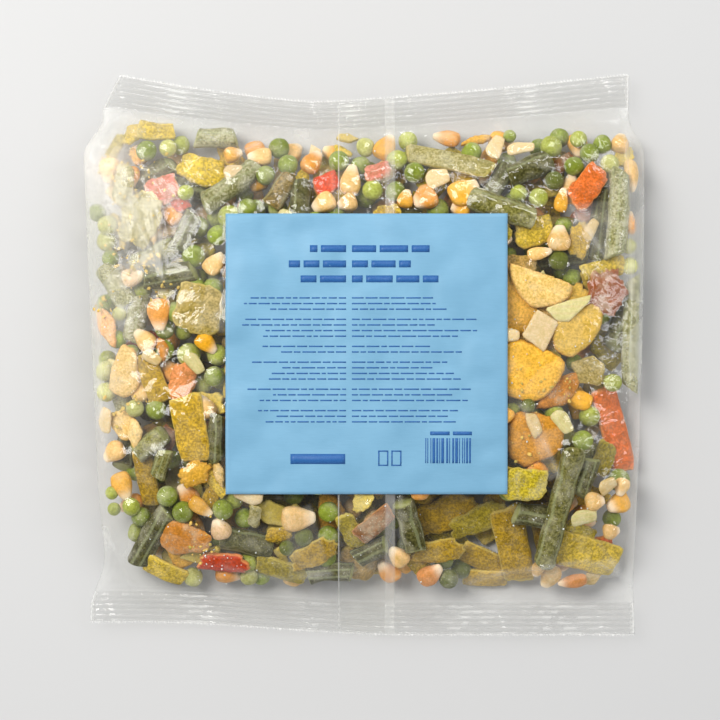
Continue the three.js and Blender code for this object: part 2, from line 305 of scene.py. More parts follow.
PEPPERS = [
    (56.2, -71.6, 30, 13, -79, "gold", "strip"), (-65, -27.5, 25, 13, -80, "gold", "strip"),
    (43, -62.5, 25, 10.5, 27, "olive", "torn"), (30, -60.5, 27, 14, 22, "gold", "torn"),
    (27.5, -74, 21, 9.5, 5, "gold", "torn"), (45.5, -77.5, 19, 9, -28, "gold", "strip"),
    (46, -84.5, 18, 7.5, -3, "gold", "strip"), (60.5, -48.5, 18, 13, -4, "yellow_green", "chunk"),
    (84.5, -76.5, 28, 14, -18, "yellow", "strip"), (81, -67, 14, 8, -25, "yellow_green", "chunk"),
    (-3, -79, 17, 13, -15, "tan", "chunk"), (-19, -75, 20, 10, 30, "gold", "torn"),
    (-31, -81, 20, 8.5, -20, "olive", "strip"), (-32, -67.5, 11, 6, 10, "gold", "chunk"),
    (-75, -81.5, 17, 8, -32, "yellow", "strip"), (-61, 69.5, 21, 12.5, -18, "yellow", "torn"),
    (-90.5, 64, 17, 8, 85, "pale", "chunk"), (-84, 51, 22, 16, 75, "pale", "torn"),
    (-62, 17.5, 20, 19, 80, "clear_olive", "chunk"), (-79.5, -9, 20, 9, 112, "gold", "strip"),
    (-82, -46, 22.5, 8, -80, "gold", "strip"), (64, 46.5, 16, 12, 15, "yellow", "chunk"),
    (81, 43, 14, 8.5, 80, "gold", "torn"), (84, -6, 14, 13, -20, "clear_olive", "kite"),
    (91.5, 3, 19, 14, -52, "olive", "kite"), (32, 73, 34, 8, -18, "pale", "strip"),
    (90.5, -39, 14, 8.5, 70, "olive", "chunk"), (-41, -60.5, 9, 5, 80, "pale", "chunk"),
    (58.5, 34, 14, 8, 0, "tan", "chunk"), (37, 67, 14, 9, 40, "gold", "torn"),
]
RED_PEPPERS = [
    (96, -28, 34, 11, -70, "red", "strip"), (84, 63.5, 19, 11, 52, "red", "chunk"),
    (84, 54, 14, 9, 20, "pink", "kite"), (-76, 62, 14, 11.5, 20, "pink", "chunk"),
    (-70, 58.5, 11, 7, -55, "bright", "chunk"), (-14, 64.5, 11, 8.5, 30, "bright", "chunk"),
    (-68.5, -10.5, 17, 10.5, 66, "salmon", "torn"), (-74.5, -32, 11, 7.5, 60, "dark", "chunk"),
    (-53, -78.5, 20, 8, -3, "bright", "torn"), (4, -63.5, 16.5, 7.5, 40, "brown", "strip"),
    (5, 69, 11, 7, 20, "pink", "chunk"), (75.5, 72.5, 10, 6, 40, "brown", "chunk"),
    (90, -71, 9, 5, 10, "red", "chunk"),
]
POTATOES = [
    (66.2, 25.9, 25, 18.5, 0, "pale", "teardrop"), (79.5, 9.5, 22, 22, 0, "yellow", "split"),
    (63, -5.8, 27, 25.5, 0, "golden", "round"), (58, 20.5, 17, 27, 0, "bright", "half_round"),
    (64.5, -31.5, 22, 22, 0, "folded", "folded"), (72, -13.5, 18, 16, 0, "brown", "wedge"),
    (91, 23.5, 19, 17, 60, "crust", "crust"), (79, 20, 16, 13, 10, "yellow", "crust"),
    (68, 11, 24, 20, 30, "pale", "folded"),
    (-67, -69.5, 20, 14.5, -10, "brown", "folded"), (-97, 10, 15, 12, 80, "orange", "wedge"),
    (-89.5, -6, 20, 13, 78, "pale", "folded"), (-63.5, -44.5, 14, 10, 20, "golden", "crust"),
    (-54.5, -45, 10, 6.5, 80, "pale", "wedge"), (-86.5, -30, 12, 8.5, 60, "pale", "wedge"),
    (42, 81, 13, 5, 5, "bright", "wedge"), (-76, 2, 8, 7, 60, "brown", "wedge"),
]
ONIONS = [
    (66, 9, 14.2, 16.4, 0, "cream", "diamond"), (76.5, 17.6, 17.5, 10.5, 0, "green_white", "fan"),
    (55, 7.5, 6.5, 5.5, 0, "cream", "bit"), (-49, 69, 8, 6, 10, "cream", "bit"),
    (-79.5, -0.8, 8, 5.5, -35, "warm", "bit"), (-63.5, -3, 9.5, 6, -52, "green_white", "bit"),
    (74.5, -25, 10, 6.5, -55, "green_white", "bit"), (82.5, -61, 10.5, 6.5, 8, "green_white", "bit"),
    (91.5, -49, 8, 6, 30, "warm", "bit"), (49.5, 78.5, 10.5, 7, 70, "cream", "bit"),
    (59, 78, 11, 5.5, 5, "cream", "bit"), (27.5, 66.5, 9.5, 8, 20, "cream", "bit"),
    (85, 47, 9, 5, 60, "warm", "bit"), (-97.5, -24.5, 10, 7, 70, "cream", "bit"),
    (63.5, -26, 5, 11, 25, "warm", "bit"),
]

# Each kind: what shows, its thickness, how square its plan is, its shades, its share of the hidden
# fill, and the sizes (length, width) of hidden pieces.
KINDS = {
    "onion": dict(shown=ONIONS, thick=1.6, square=3.0, share=0.025, sizes=[(14, 10), (10, 6)],
        shades={"cream": (226, 206, 170), "warm": (210, 186, 134), "green_white": (214, 210, 156)}),
    "potato": dict(shown=POTATOES, thick=3.4, square=2.6, share=0.08, sizes=[(22, 17), (18, 14), (15, 11)],
        shades={"golden": (240, 188, 66), "pale": (240, 204, 130), "bright": (242, 188, 72),
                "yellow": (234, 196, 84), "brown": (208, 138, 42), "crust": (158, 84, 34),
                "folded": (214, 152, 46), "orange": (236, 180, 128)}),
    "corn": dict(shown=CORN, thick=6.0, square=2.2, share=0.10, sizes=[(11, 8), (10, 7.5)],
        shades={"yellow": (244, 186, 72), "pale": (242, 202, 138), "orange": (240, 168, 72),
                "bright": (244, 184, 40), "pink": (240, 208, 174), "salmon": (228, 158, 98)}),
    "bean": dict(shown=BEANS, thick=7.6, square=4.0, share=0.24, sizes=[(26, 8), (20, 8), (16, 8)],
        shades={"dark": (90, 90, 44), "mid": (126, 126, 64), "frosty": (154, 156, 112),
                "grey": (172, 174, 146), "brown": (146, 124, 60)}),
    "pepper": dict(shown=PEPPERS, thick=2.4, square=5.0, share=0.36, sizes=[(24, 11), (18, 10), (15, 8)],
        shades={"gold": (190, 157, 24), "olive": (166, 152, 34), "yellow": (216, 190, 52),
                "yellow_green": (200, 184, 42), "pale": (166, 160, 106), "tan": (198, 164, 84),
                "clear_olive": (172, 154, 84)}),
    "pea": dict(shown=PEAS, thick=None, square=2.0, share=0.12, sizes=[(8.2, 8.2), (7.5, 7.5)],
        shades={"green": (136, 156, 52), "fresh": (148, 170, 56), "light": (172, 186, 84),
                "pale": (194, 200, 126), "dark": (104, 116, 44)}),
    "red_pepper": dict(shown=RED_PEPPERS, thick=2.8, square=5.0, share=0.03, sizes=[(18, 9), (14, 8)],
        shades={"red": (226, 116, 44), "bright": (212, 72, 22), "salmon": (232, 152, 88),
                "pink": (222, 132, 116), "brown": (146, 96, 50), "dark": (124, 56, 24)}),
}


def linear(rgb):
    """A colour as 0 to 255 on a screen, as the renderer counts it."""
    c = np.asarray(rgb, float) / 255
    return tuple(np.where(c <= 0.04045, c / 12.92, ((c + 0.055) / 1.055) ** 2.4))


# Packing.  Each piece rises until it touches the film or another piece, as if the bag were filled
# upside down; the last layer is laid on the underside.

UNDER_FILM, UNDER_LOOSE_FILM, OVER_BACK = 0.35, 2.0, 0.3
STEEPEST = 1.0
SNUG = 0.86
NUDGE, NUDGES = 0.8, 12
NUDGED_BEYOND_X, NUDGED_BEYOND_Y = 80, 70
DEEPEST_OVERLAP, LAID_OVERLAP = 0.2, 0.4
HIGHEST_BULGE = 3.0


class Heap:
    def __init__(self):
        self.ceiling = film_base - UNDER_FILM - UNDER_LOOSE_FILM * loose
        self.floor = back_base + OVER_BACK
        slope_y, slope_x = np.gradient(blurred(film_base, 5), CELL)
        self.slope = (slope_x, slope_y)
        self.placed = {kind: [] for kind in KINDS}

    def shape(self, x, y, size, axes, square):
        """The cells under a piece, and its upper and lower surface there, from its middle."""
        reach_x = sum(abs(axes[0, k]) * size[k] / 2 for k in range(3))
        reach_y = sum(abs(axes[1, k]) * size[k] / 2 for k in range(3))
        x0, x1 = np.searchsorted(xs, [x - reach_x, x + reach_x])
        y0, y1 = np.searchsorted(ys, [y - reach_y, y + reach_y])
        cells = (slice(max(y0, 0), y1), slice(max(x0, 0), x1))
        dx = X[cells] - x
        dy = Y[cells] - y
        n = axes[:, 2]
        mid = -(n[0] * dx + n[1] * dy) / n[2]
        along = (dx * axes[0, 0] + dy * axes[1, 0] + mid * axes[2, 0]) / (size[0] / 2)
        across = (dx * axes[0, 1] + dy * axes[1, 1] + mid * axes[2, 1]) / (size[1] / 2)
        r = np.abs(along) ** square + np.abs(across) ** square
        half = np.where(r < 1, size[2] / 2 / n[2] * np.sqrt(np.maximum(0, 1 - r)), -1)
        return cells, mid, half, half >= 0

    def axes_at(self, x, y, turn, tilt):
        slope = [float(sample(f, np.array(x), np.array(y))) for f in self.slope]
        steep = math.hypot(*slope)
        if steep > STEEPEST:
            slope = [v / steep * STEEPEST for v in slope]
        normal = Vector((-slope[0] + tilt[0], -slope[1] + tilt[1], 1)).normalized()
        heading = Vector((math.cos(math.radians(turn)), math.sin(math.radians(turn)), 0))
        along = (heading - normal * heading.dot(normal)).normalized()
        across = normal.cross(along)
        return np.array(Matrix((along, across, normal)).transposed())

    def hang(self, kind, x, y, size, turn, shade, tilt=(0, 0), must=False, deepest=None, trial=False):
        """Press a piece up against what is above it.  A trial only says how high it would get."""
        axes = self.axes_at(x, y, turn, tilt)
        square = KINDS[kind]["square"]
        snug = [v * SNUG for v in size] if must else size
        cells, mid, half, solid = self.shape(x, y, snug, axes, square)
        for _ in range(NUDGES):
            if not must or (solid.any() and with_food[cells][solid].all()):
                break
            x -= NUDGE * np.sign(x) * (abs(x) > NUDGED_BEYOND_X)
            y -= NUDGE * np.sign(y) * (abs(y) > NUDGED_BEYOND_Y)
            cells, mid, half, solid = self.shape(x, y, snug, axes, square)
        if not solid.any() or not with_food[cells][solid].all():
            return False
        z = float(np.min((self.ceiling[cells] - mid - half)[solid]))
        low = (z + mid - half - self.floor[cells])[solid]
        if low.min() < -DEEPEST_OVERLAP and not must:
            return False
        z += min(HIGHEST_BULGE, max(0.0, -float(low.min())))
        highest = z + (mid + half)[solid].max()
        if deepest is not None and film_base[cells][solid].max() - highest > deepest:
            return False
        if trial:
            return z + (mid + half)[solid].mean() - film_base[cells][solid].mean()
        above = self.ceiling[cells]
        self.ceiling[cells] = np.where(solid, np.minimum(above, z + mid - half), above)
        self.placed[kind].append((x, y, z, size, axes, shade))
        return True

    def lay(self, kind, x, y, size, turn, shade):
        """Lay a piece on what is below it."""
        axes = np.array(Matrix.Rotation(math.radians(turn), 3, "Z"))
        cells, mid, half, solid = self.shape(x, y, size, axes, KINDS[kind]["square"])
        if not solid.any() or not with_food[cells][solid].all():
            return False
        z = float(np.max((self.floor[cells] - mid + half)[solid]))
        if (self.ceiling[cells] - (z + mid + half))[solid].min() < -LAID_OVERLAP:
            return False
        below = self.floor[cells]
        self.floor[cells] = np.where(solid, np.maximum(below, z + mid + half), below)
        self.placed[kind].append((x, y, z, size, axes, shade))
        return True


heap = Heap()
for kind, facts in KINDS.items():
    for piece in facts["shown"]:
        if kind == "pea":
            x, y, length, shade = piece
            width, turn = length * 0.96, dice.uniform(0, 180)
        else:
            x, y, length, width, turn, shade = piece[:6]
        form = piece[6] if kind != "pea" and len(piece) > 6 else None
        thick = facts["thick"] or length * 0.94
        thick = min(thick, width * 0.95) * dice.uniform(0.92, 1.05)
        lean = dice.uniform(-0.08, 0.08, 2)
        heap.hang(kind, x, y, (length, width, thick), turn, (shade, form), lean, must=True)

COMMON_SHADES = 3
LEAST_ROOM = 4.0
PICKS = 40
TRIES = 7
FEW_CELLS = 30
names = list(KINDS)
shares = np.array([KINDS[k]["share"] for k in names])


def random_piece():
    kind = names[dice.choice(len(names), p=shares / shares.sum())]
    facts = KINDS[kind]
    length, width = facts["sizes"][dice.integers(len(facts["sizes"]))]
    grow = dice.uniform(0.88, 1.15)
    thick = min(facts["thick"] or length * 0.95, width) * dice.uniform(0.9, 1.1)
    shade = list(facts["shades"])[dice.integers(COMMON_SHADES)]
    return kind, (length * grow, width, thick), (shade, None)


def chip():
    """A small thin piece for a narrow place."""
    kind = "pepper" if dice.random() < 0.95 else "onion"
    length = dice.uniform(8, 17)
    shade = list(KINDS[kind]["shades"])[dice.integers(COMMON_SHADES)]
    return kind, (length, length * dice.uniform(0.5, 0.8), dice.uniform(1.3, 1.9)), (shade, None)


def fill(place, rounds, steep):
    """Add hidden pieces where there is most room left."""
    for _ in range(rounds):
        room = np.where(with_food, heap.ceiling - heap.floor, 0)
        open_cells = np.argwhere(room > LEAST_ROOM)
        if len(open_cells) == 0:
            return
        weight = room[open_cells[:, 0], open_cells[:, 1]] ** 2
        picks = open_cells[dice.choice(len(open_cells), PICKS, p=weight / weight.sum())]
        for iy, ix in picks:
            kind, size, shade = random_piece()
            if room[iy, ix] < size[2]:
                continue
            place(kind, xs[ix], ys[iy], size, dice.uniform(0, 180), shade, *steep())


def close_gaps(rounds, depth, lean, least=LEAST_ROOM, make=random_piece):
    """Fit pieces into what is still open under the film: of a few tries, the one that gets highest."""
    missed = np.zeros(X.shape, bool)
    for _ in range(rounds):
        still_open = (film_base - heap.ceiling < depth) & (heap.ceiling - heap.floor > least)
        open_cells = np.argwhere(with_food & ~missed & still_open)
        if len(open_cells) < FEW_CELLS:
            return
        iy, ix = open_cells[dice.integers(len(open_cells))]
        best = None
        for _ in range(TRIES):
            kind, size, shade = make()
            x = xs[ix] + dice.uniform(-2, 2)
            y = ys[iy] + dice.uniform(-2, 2)
            given = (kind, x, y, size, dice.uniform(0, 180), shade, dice.uniform(-lean, lean, 2))
            height = heap.hang(*given, deepest=depth, trial=True)
            if height is not False and (best is None or height > best[0]):
                best = (height, given)
        if best is None:
            missed[max(iy - 3, 0):iy + 4, max(ix - 3, 0):ix + 4] = True
        else:
            heap.hang(*best[1])


close_gaps(420, 4.5, 0.15)
close_gaps(420, 9.0, 0.35)
close_gaps(420, 6.5, 0.2, 1.5, chip)
fill(heap.hang, 26, lambda: (dice.uniform(-0.5, 0.5, 2),))
fill(heap.lay, 22, lambda: ())


# The shapes of the pieces, each in a box one unit each way, so that its size scales it

def lofted(rings, name, part):
    """A closed mesh from rings of points; the first and last ring are single points."""
    verts = [tuple(p) for ring in rings for p in ring]
    parts = [float(v) for ring in part for v in ring]
    n = len(rings[1])
    faces = []
    for k in range(n):
        faces.append((0, 1 + (k + 1) % n, 1 + k))
    for i in range(len(rings) - 3):
        a = 1 + i * n
        b = a + n
        for k in range(n):
            faces.append((a + k, a + (k + 1) % n, b + (k + 1) % n, b + k))
    end = len(verts) - 1
    a = end - n
    for k in range(n):
        faces.append((a + k, a + (k + 1) % n, end))
    mesh = bpy.data.meshes.new(name)
    mesh.from_pydata(verts, [], faces)
    for label, kind, values in (("local", "FLOAT_VECTOR", verts), ("part", "FLOAT", parts)):
        attribute = mesh.attributes.new(label, kind, "POINT")
        if kind == "FLOAT":
            attribute.data.foreach_set("value", values)
        else:
            attribute.data.foreach_set("vector", np.ravel(values))
    mesh.shade_smooth()
    return mesh


def ball(name, columns, rows, dent):
    """A pea: round, with a small flat where it was joined to its pod."""
    rings, parts = [[(0, 0, -0.5)]], [[0]]
    for i in range(1, rows):
        a = math.pi * i / rows
        ring = []
        for k in range(columns):
            b = 2 * math.pi * k / columns
            r = 0.5 * (1 - dent * math.exp(-6 * (1 - math.cos(a - 1.2)) - 3 * (1 - math.cos(b))))
            ring.append((r * math.sin(a) * math.cos(b), r * math.sin(a) * math.sin(b), -r * math.cos(a)))
        rings.append(ring)
        parts.append([0] * columns)
    return lofted(rings + [[(0, 0, 0.5)]], name, parts + [[0]])


def kernel(name, columns, rows, lean):
    """A sweetcorn kernel: a broad dimpled crown, narrowing to a pale tip at +X."""
    rings, parts = [[(-0.44, 0, 0)]], [[0]]
    for i in range(1, rows):
        t = i / rows
        x = -0.5 * math.cos(math.pi * t)
        wide = math.sin(math.pi * t) ** 0.46 * (1 - 0.40 * smooth(-0.15, 0.5, x))
        thick = math.sin(math.pi * t) ** 0.55 * (1 - 0.35 * smooth(-0.1, 0.5, x))
        dimple = 0.07 * math.exp(-(((x + 0.5) / 0.16) ** 2))
        ring = []
        for k in range(columns):
            b = 2 * math.pi * k / columns
            c, s = math.cos(b), math.sin(b)
            square = (abs(c) ** 3 + abs(s) ** 3) ** (-1 / 3)
            ring.append((x + dimple, 0.5 * wide * c * square + lean * x * x, 0.5 * thick * s * square))
        rings.append(ring)
        parts.append([float(smooth(0.12, 0.46, x))] * columns)
    return lofted(rings + [[(0.5, lean * 0.25, 0)]], name, parts + [[1]])


def cut_bean(name, columns, rows, aspect, bend, slant):
    """A length of bean: a curved rod with both ends cut."""
    ends = [(-0.5, 0.0, 1), (-0.5, 0.55, 1), (-0.5, 0.88, 0.6), (-0.5 + 0.05 / aspect, 0.98, 0)]
    body = [(-0.5 + (i + 0.5) / rows, 1.0, 0) for i in range(rows)]
    profile = ends + body + [(-x, r, cut) for x, r, cut in reversed(ends)]
    rings, parts = [], []
    for x, r, cut in profile:
        if r == 0:
            rings.append([(x, bend * (1 - 4 * x * x), 0)])
            parts.append([cut])
            continue
        swell = 1 + 0.05 * math.sin(x * aspect * 4.2) if not cut else 1
        ring = []
        for k in range(columns):
            b = 2 * math.pi * k / columns
            py = 0.5 * r * swell * math.cos(b)
            pz = 0.5 * r * swell * math.sin(b)
            px = x + slant * py / aspect * (2 * x if abs(x) > 0.4 else 0)
            ring.append((px, -py + bend * (1 - 4 * x * x), pz))
        rings.append(ring)
        parts.append([cut] * columns)
    return lofted(rings, name, parts)


def slab(name, columns, outline, dome, curl, bend, rim):
    """A flat piece: its outline is a radius for each direction, its top may be domed, curled or bent."""
    radii = [0.3, 0.58, 0.78, 0.9, 0.965, 1.0]
    layers = [(r, 1) for r in radii] + [(r, -1) for r in reversed(radii[:-1])]
    rings, parts = [[(0, 0, 0.5)]], [[0]]
    for r, side in layers:
        ring, part = [], []
        for k in range(columns):
            b = -2 * math.pi * k / columns
            reach = outline(b)
            x = 0.5 * r * reach * math.cos(b)
            y = 0.5 * r * reach * math.sin(b)
            z = side * 0.5 * (1 - r**rim) ** (1 / 2.2) * (1 - (1 - dome) * r * r)
            ring.append((x, y, z - curl * (4 * y * y - 0.3) - bend * (4 * x * x - 0.3)))
            part.append(0 if side > 0 and r < 0.93 else 1)
        rings.append(ring)
        parts.append(part)
    return lofted(rings + [[(0, 0, -0.5)]], name, parts + [[1]])


def cornered(corners, sharp, ragged, seed):
    """An outline with straight sides and softened corners.  The corners go round anticlockwise."""
    sides = []
    for (ax, ay), (bx, by) in zip(corners, corners[1:] + corners[:1]):
        nx, ny = by - ay, ax - bx
        away = nx * ax + ny * ay
        sides.append((nx / away, ny / away))

    def reach(b):
        c, s = math.cos(b), math.sin(b)
        total = sum(max(0.0, nx * c + ny * s) ** sharp for nx, ny in sides)
        rough = math.sin(5 * b + seed) + 0.7 * math.sin(11 * b + 2 * seed) + 0.5 * math.sin(23 * b + 3 * seed)
        return total ** (-1 / sharp) * (1 + ragged * rough)

    return reach


def box_of(cut=0.0, taper=0.0):
    """The corners of a strip whose ends are cut askew."""
    return [(-1 + cut, -1), (1 - cut, -1 + taper), (1 + cut, 1 - taper), (-1 - cut, 1)]


# The corners of each outline, how sharp they are, how ragged the sides are, and which raggedness it has
OUTLINES = {
    "strip": (box_of(0.06, 0.08), 16, 0.012, 1),
    "bent": (box_of(-0.10, 0.22), 16, 0.014, 4),
    "torn": ([(-1, -0.5), (-0.2, -1), (0.9, -0.8), (1, 0.35), (0.55, 1), (-0.75, 0.9)], 14, 0.06, 2),
    "chunk": ([(-0.9, -1), (0.8, -0.9), (1, 0.8), (-0.6, 1), (-1, 0.2)], 12, 0.04, 3),
    "kite": ([(-1, 0.1), (-0.3, -0.85), (1, -0.55), (0.8, 0.7), (0.0, 1)], 13, 0.02, 5),
    "shard": ([(-1, -0.35), (0.2, -1), (1, -0.2), (0.4, 1), (-0.6, 0.8)], 11, 0.06, 6),
    "teardrop": ([(-1, 1), (-0.9, 0.1), (-0.3, -0.95), (0.65, -0.8), (1, -0.35), (0.95, 0.1)], 9, 0.006, 1),
    "diamond": ([(-1, -0.2), (0.2, -1), (0.96, 0.38), (-0.2, 1)], 22, 0.008, 2),
    "fan": ([(-1, -0.05), (-0.5, -0.95), (0.0, -1), (0.95, 0.5), (1, 1), (-0.1, 0.5)], 18, 0.006, 2),
    "split": ([(-0.9, 0.2), (-0.8, -0.7), (-0.2, -1), (0.75, -0.3), (1, 0.5), (0.75, 0.95), (-0.1, 0.75)],
              11, 0.012, 1),
    "round": ([(-1, -0.6), (-0.3, -1), (0.35, -0.9), (0.8, -0.35), (1, 0.3), (-0.35, 1), (-0.9, 0.85)],
              7, 0.008, 3),
    "half_round": ([(-1, -1), (0.5, -0.95), (1, -0.5), (0.4, 0.5), (-0.2, 1), (-1, 1)], 9, 0.008, 4),
    "folded": ([(-0.9, 0.9), (-1, -0.6), (-0.4, -1), (0.9, -0.4), (1, 0.5), (0.1, 0.95)], 10, 0.02, 5),
    "wedge": ([(-1, -0.9), (0.4, -0.7), (1, 0.2), (0.9, 0.95), (-0.1, 0.6)], 8, 0.012, 6),
    "crust": ([(-1, -0.2), (-0.4, -1), (0.6, -0.8), (1, 0.1), (0.5, 1), (-0.6, 0.8)], 10, 0.09, 7),
    "bit": ([(-0.9, -1), (0.9, -0.7), (1, 0.6), (-0.4, 1), (-1, 0.3)], 9, 0.01, 8),
}

# The flat forms of each kind: how domed, curled and bent each is, how square its rim is, and its columns
FLAT_FORMS = {
    "pepper": {"strip": (1.0, 0.25, 0.3, 16, 40), "bent": (1.0, 0.5, -0.6, 16, 40),
               "torn": (1.0, 0.3, 0.4, 16, 40), "chunk": (1.0, 0.35, 0.2, 16, 40),
               "kite": (1.0, 0.2, 0.2, 16, 40), "shard": (1.0, 0.5, -0.3, 16, 40)},
    "red_pepper": {"strip": (1.0, 0.4, 0.3, 14, 44), "torn": (1.0, 0.5, -0.3, 14, 44),
                   "chunk": (1.0, 0.3, 0.2, 14, 44), "kite": (1.0, 0.2, 0.3, 14, 44)},
    "potato": {"teardrop": (0.9, 0.05, 0.0, 8, 48), "split": (0.8, 0.1, 0.0, 8, 48),
               "round": (0.85, 0.0, 0.05, 8, 48), "half_round": (0.85, 0.1, 0.0, 7, 48),
               "folded": (0.8, 0.2, 0.15, 7, 48), "wedge": (0.7, 0.1, 0.0, 5, 48),
               "crust": (0.7, 0.2, 0.1, 5, 48)},
    "onion": {"diamond": (1.0, 0.05, 0.1, 12, 40), "fan": (1.0, 0.3, 0.0, 12, 40),
              "bit": (0.9, 0.4, 0.1, 8, 28)},
}

FINE = 24
VARIANTS = {
    "pea": {form: ball("pea_" + form, FINE, 17, dent)
            for form, dent in (("a", 0.04), ("b", 0.12), ("c", 0.0))},
    "corn": {form: kernel("corn_" + form, FINE, 16, lean)
             for form, lean in (("a", 0.0), ("b", 0.25), ("c", -0.2))},
    "bean": {"short": cut_bean("bean_short", FINE, 9, 1.9, 0.02, 0.3),
             "middle": cut_bean("bean_middle", FINE, 13, 2.8, 0.12, -0.4),
             "long": cut_bean("bean_long", FINE, 19, 4.6, 0.10, 0.5)},
}
for kind, forms in FLAT_FORMS.items():
    VARIANTS[kind] = {}
    for form, (dome, curl, bend, rim, columns) in forms.items():
        outline = cornered(*OUTLINES[form])
        VARIANTS[kind][form] = slab(f"{kind}_{form}", columns, outline, dome, curl, bend, rim)


# Making nodes

def node(tree, kind, values=None, **settings):
    """Add a node; `values` maps its inputs, by name or number, to a value or to another node's output."""
    made = tree.nodes.new(kind)
    for name, value in settings.items():
        setattr(made, name, value)
    for name, value in (values or {}).items():
        socket = made.inputs[name]
        if isinstance(value, bpy.types.NodeSocket):
            tree.links.new(value, socket)
        else:
            socket.default_value = value
    return made


def math_of(tree, operation, a, b=0.0, clamp=False):
    return node(tree, "ShaderNodeMath", {0: a, 1: b}, operation=operation, use_clamp=clamp).outputs[0]


def stored(tree, name, kind):
    """A value that each point carries."""
    return node(tree, "GeometryNodeInputNamedAttribute", {"Name": name}, data_type=kind).outputs["Attribute"]


def new_tree(name, **inputs):
    """A tree that changes a geometry, with these named inputs, each given with its type."""
    tree = bpy.data.node_groups.new(name, "GeometryNodeTree")
    tree.interface.new_socket("Geometry", in_out="OUTPUT", socket_type="NodeSocketGeometry")
    for label, kind in {"Geometry": "Geometry", **inputs}.items():
        tree.interface.new_socket(label, in_out="INPUT", socket_type="NodeSocket" + kind)
    return tree, tree.nodes.new("NodeGroupInput").outputs


def finished(tree, last, given):
    """End a tree: give what the last node made its material."""
    values = {"Geometry": last.outputs[0], "Material": given["Material"]}
    coloured = node(tree, "GeometryNodeSetMaterial", values)
    node(tree, "NodeGroupOutput", {"Geometry": coloured.outputs[0]})
    return tree


def grown(points, tree, **values):
    """Run a tree on an object's points and keep the result as its plain mesh."""
    modifier = points.modifiers.new("pieces", "NODES")
    modifier.node_group = tree
    for name, value in values.items():
        modifier[tree.interface.items_tree[name].identifier] = value
    bpy.context.view_layer.update()
    held = points.evaluated_get(bpy.context.evaluated_depsgraph_get())
    mesh = bpy.data.meshes.new_from_object(held)
    points.modifiers.clear()
    points.data = mesh
    return mesh


def scatter_tree():
    """Puts a shape on each point, by the point's own variant, turn and size, and roughens each piece."""
    tree, given = new_tree("scatter_pieces", Shapes="Collection", Unevenness="Float", Grain="Float",
        Material="Material")

    shapes = node(tree, "GeometryNodeCollectionInfo",
        {"Collection": given["Shapes"], "Separate Children": True, "Reset Children": True})
    turn = node(tree, "FunctionNodeEulerToRotation", {"Euler": stored(tree, "turn", "FLOAT_VECTOR")})
    spread = node(tree, "GeometryNodeInstanceOnPoints", {
        "Points": given["Geometry"], "Instance": shapes.outputs[0], "Pick Instance": True,
        "Instance Index": stored(tree, "variant", "INT"), "Rotation": turn.outputs[0],
        "Scale": stored(tree, "size", "FLOAT_VECTOR")})
    real = node(tree, "GeometryNodeRealizeInstances", {"Geometry": spread.outputs[0]})
    position = node(tree, "GeometryNodeInputPosition").outputs[0]
    normal = node(tree, "GeometryNodeInputNormal").outputs[0]

    def bumps(scale, detail, height):
        noise = node(tree, "ShaderNodeTexNoise", {"Vector": position, "Scale": scale, "Detail": detail})
        return math_of(tree, "MULTIPLY", math_of(tree, "SUBTRACT", noise.outputs[0], 0.5), height)

    total = math_of(tree, "ADD", bumps(170.0, 1.0, given["Unevenness"]), bumps(620.0, 2.0, given["Grain"]))
    offset = node(tree, "ShaderNodeVectorMath", {0: normal, "Scale": total}, operation="SCALE")
    moved = node(tree, "GeometryNodeSetPosition", {"Geometry": real.outputs[0], "Offset": offset.outputs[0]})
    soft = node(tree, "GeometryNodeSetShadeSmooth", {"Geometry": moved.outputs[0]})
    return finished(tree, soft, given)


def mesh_object(name, verts, faces, material=None, attributes=()):
    """A mesh from millimetres.  Attributes are (name, type, values for each point)."""
    mesh = bpy.data.meshes.new(name)
    mesh.from_pydata(np.asarray(verts, float) * MM, [], faces)
    for label, kind, values in attributes:
        made = mesh.attributes.new(label, kind, "POINT")
        field = {"FLOAT_VECTOR": "vector", "FLOAT_COLOR": "color"}.get(kind, "value")
        made.data.foreach_set(field, np.ravel(values))
    mesh.shade_smooth()
    if material:
        mesh.materials.append(material)
    made = bpy.data.objects.new(name, mesh)
    bpy.context.scene.collection.objects.link(made)
    return made


DEPTH_OF_COLOUR = np.array((0.93, 0.86, 0.71))
# Painted shade: how much darker each piece's colour is made towards the bottom, where less light falls.
PAINTED_SHADE_BELOW = 0.2
USUAL_FROST = 0.55
FROST_OF = {"pale": 0.5, "frosty": 1.0, "grey": 1.1, "light": 0.6, "pink": 0.5, "dark": 0.4, "mid": 0.6,
            "golden": 0.12, "bright": 0.12, "folded": 0.15, "yellow": 0.3, "gold": 0.2, "olive": 0.25,
            "red": 0.2, "salmon": 0.2, "clear_olive": 0.35}


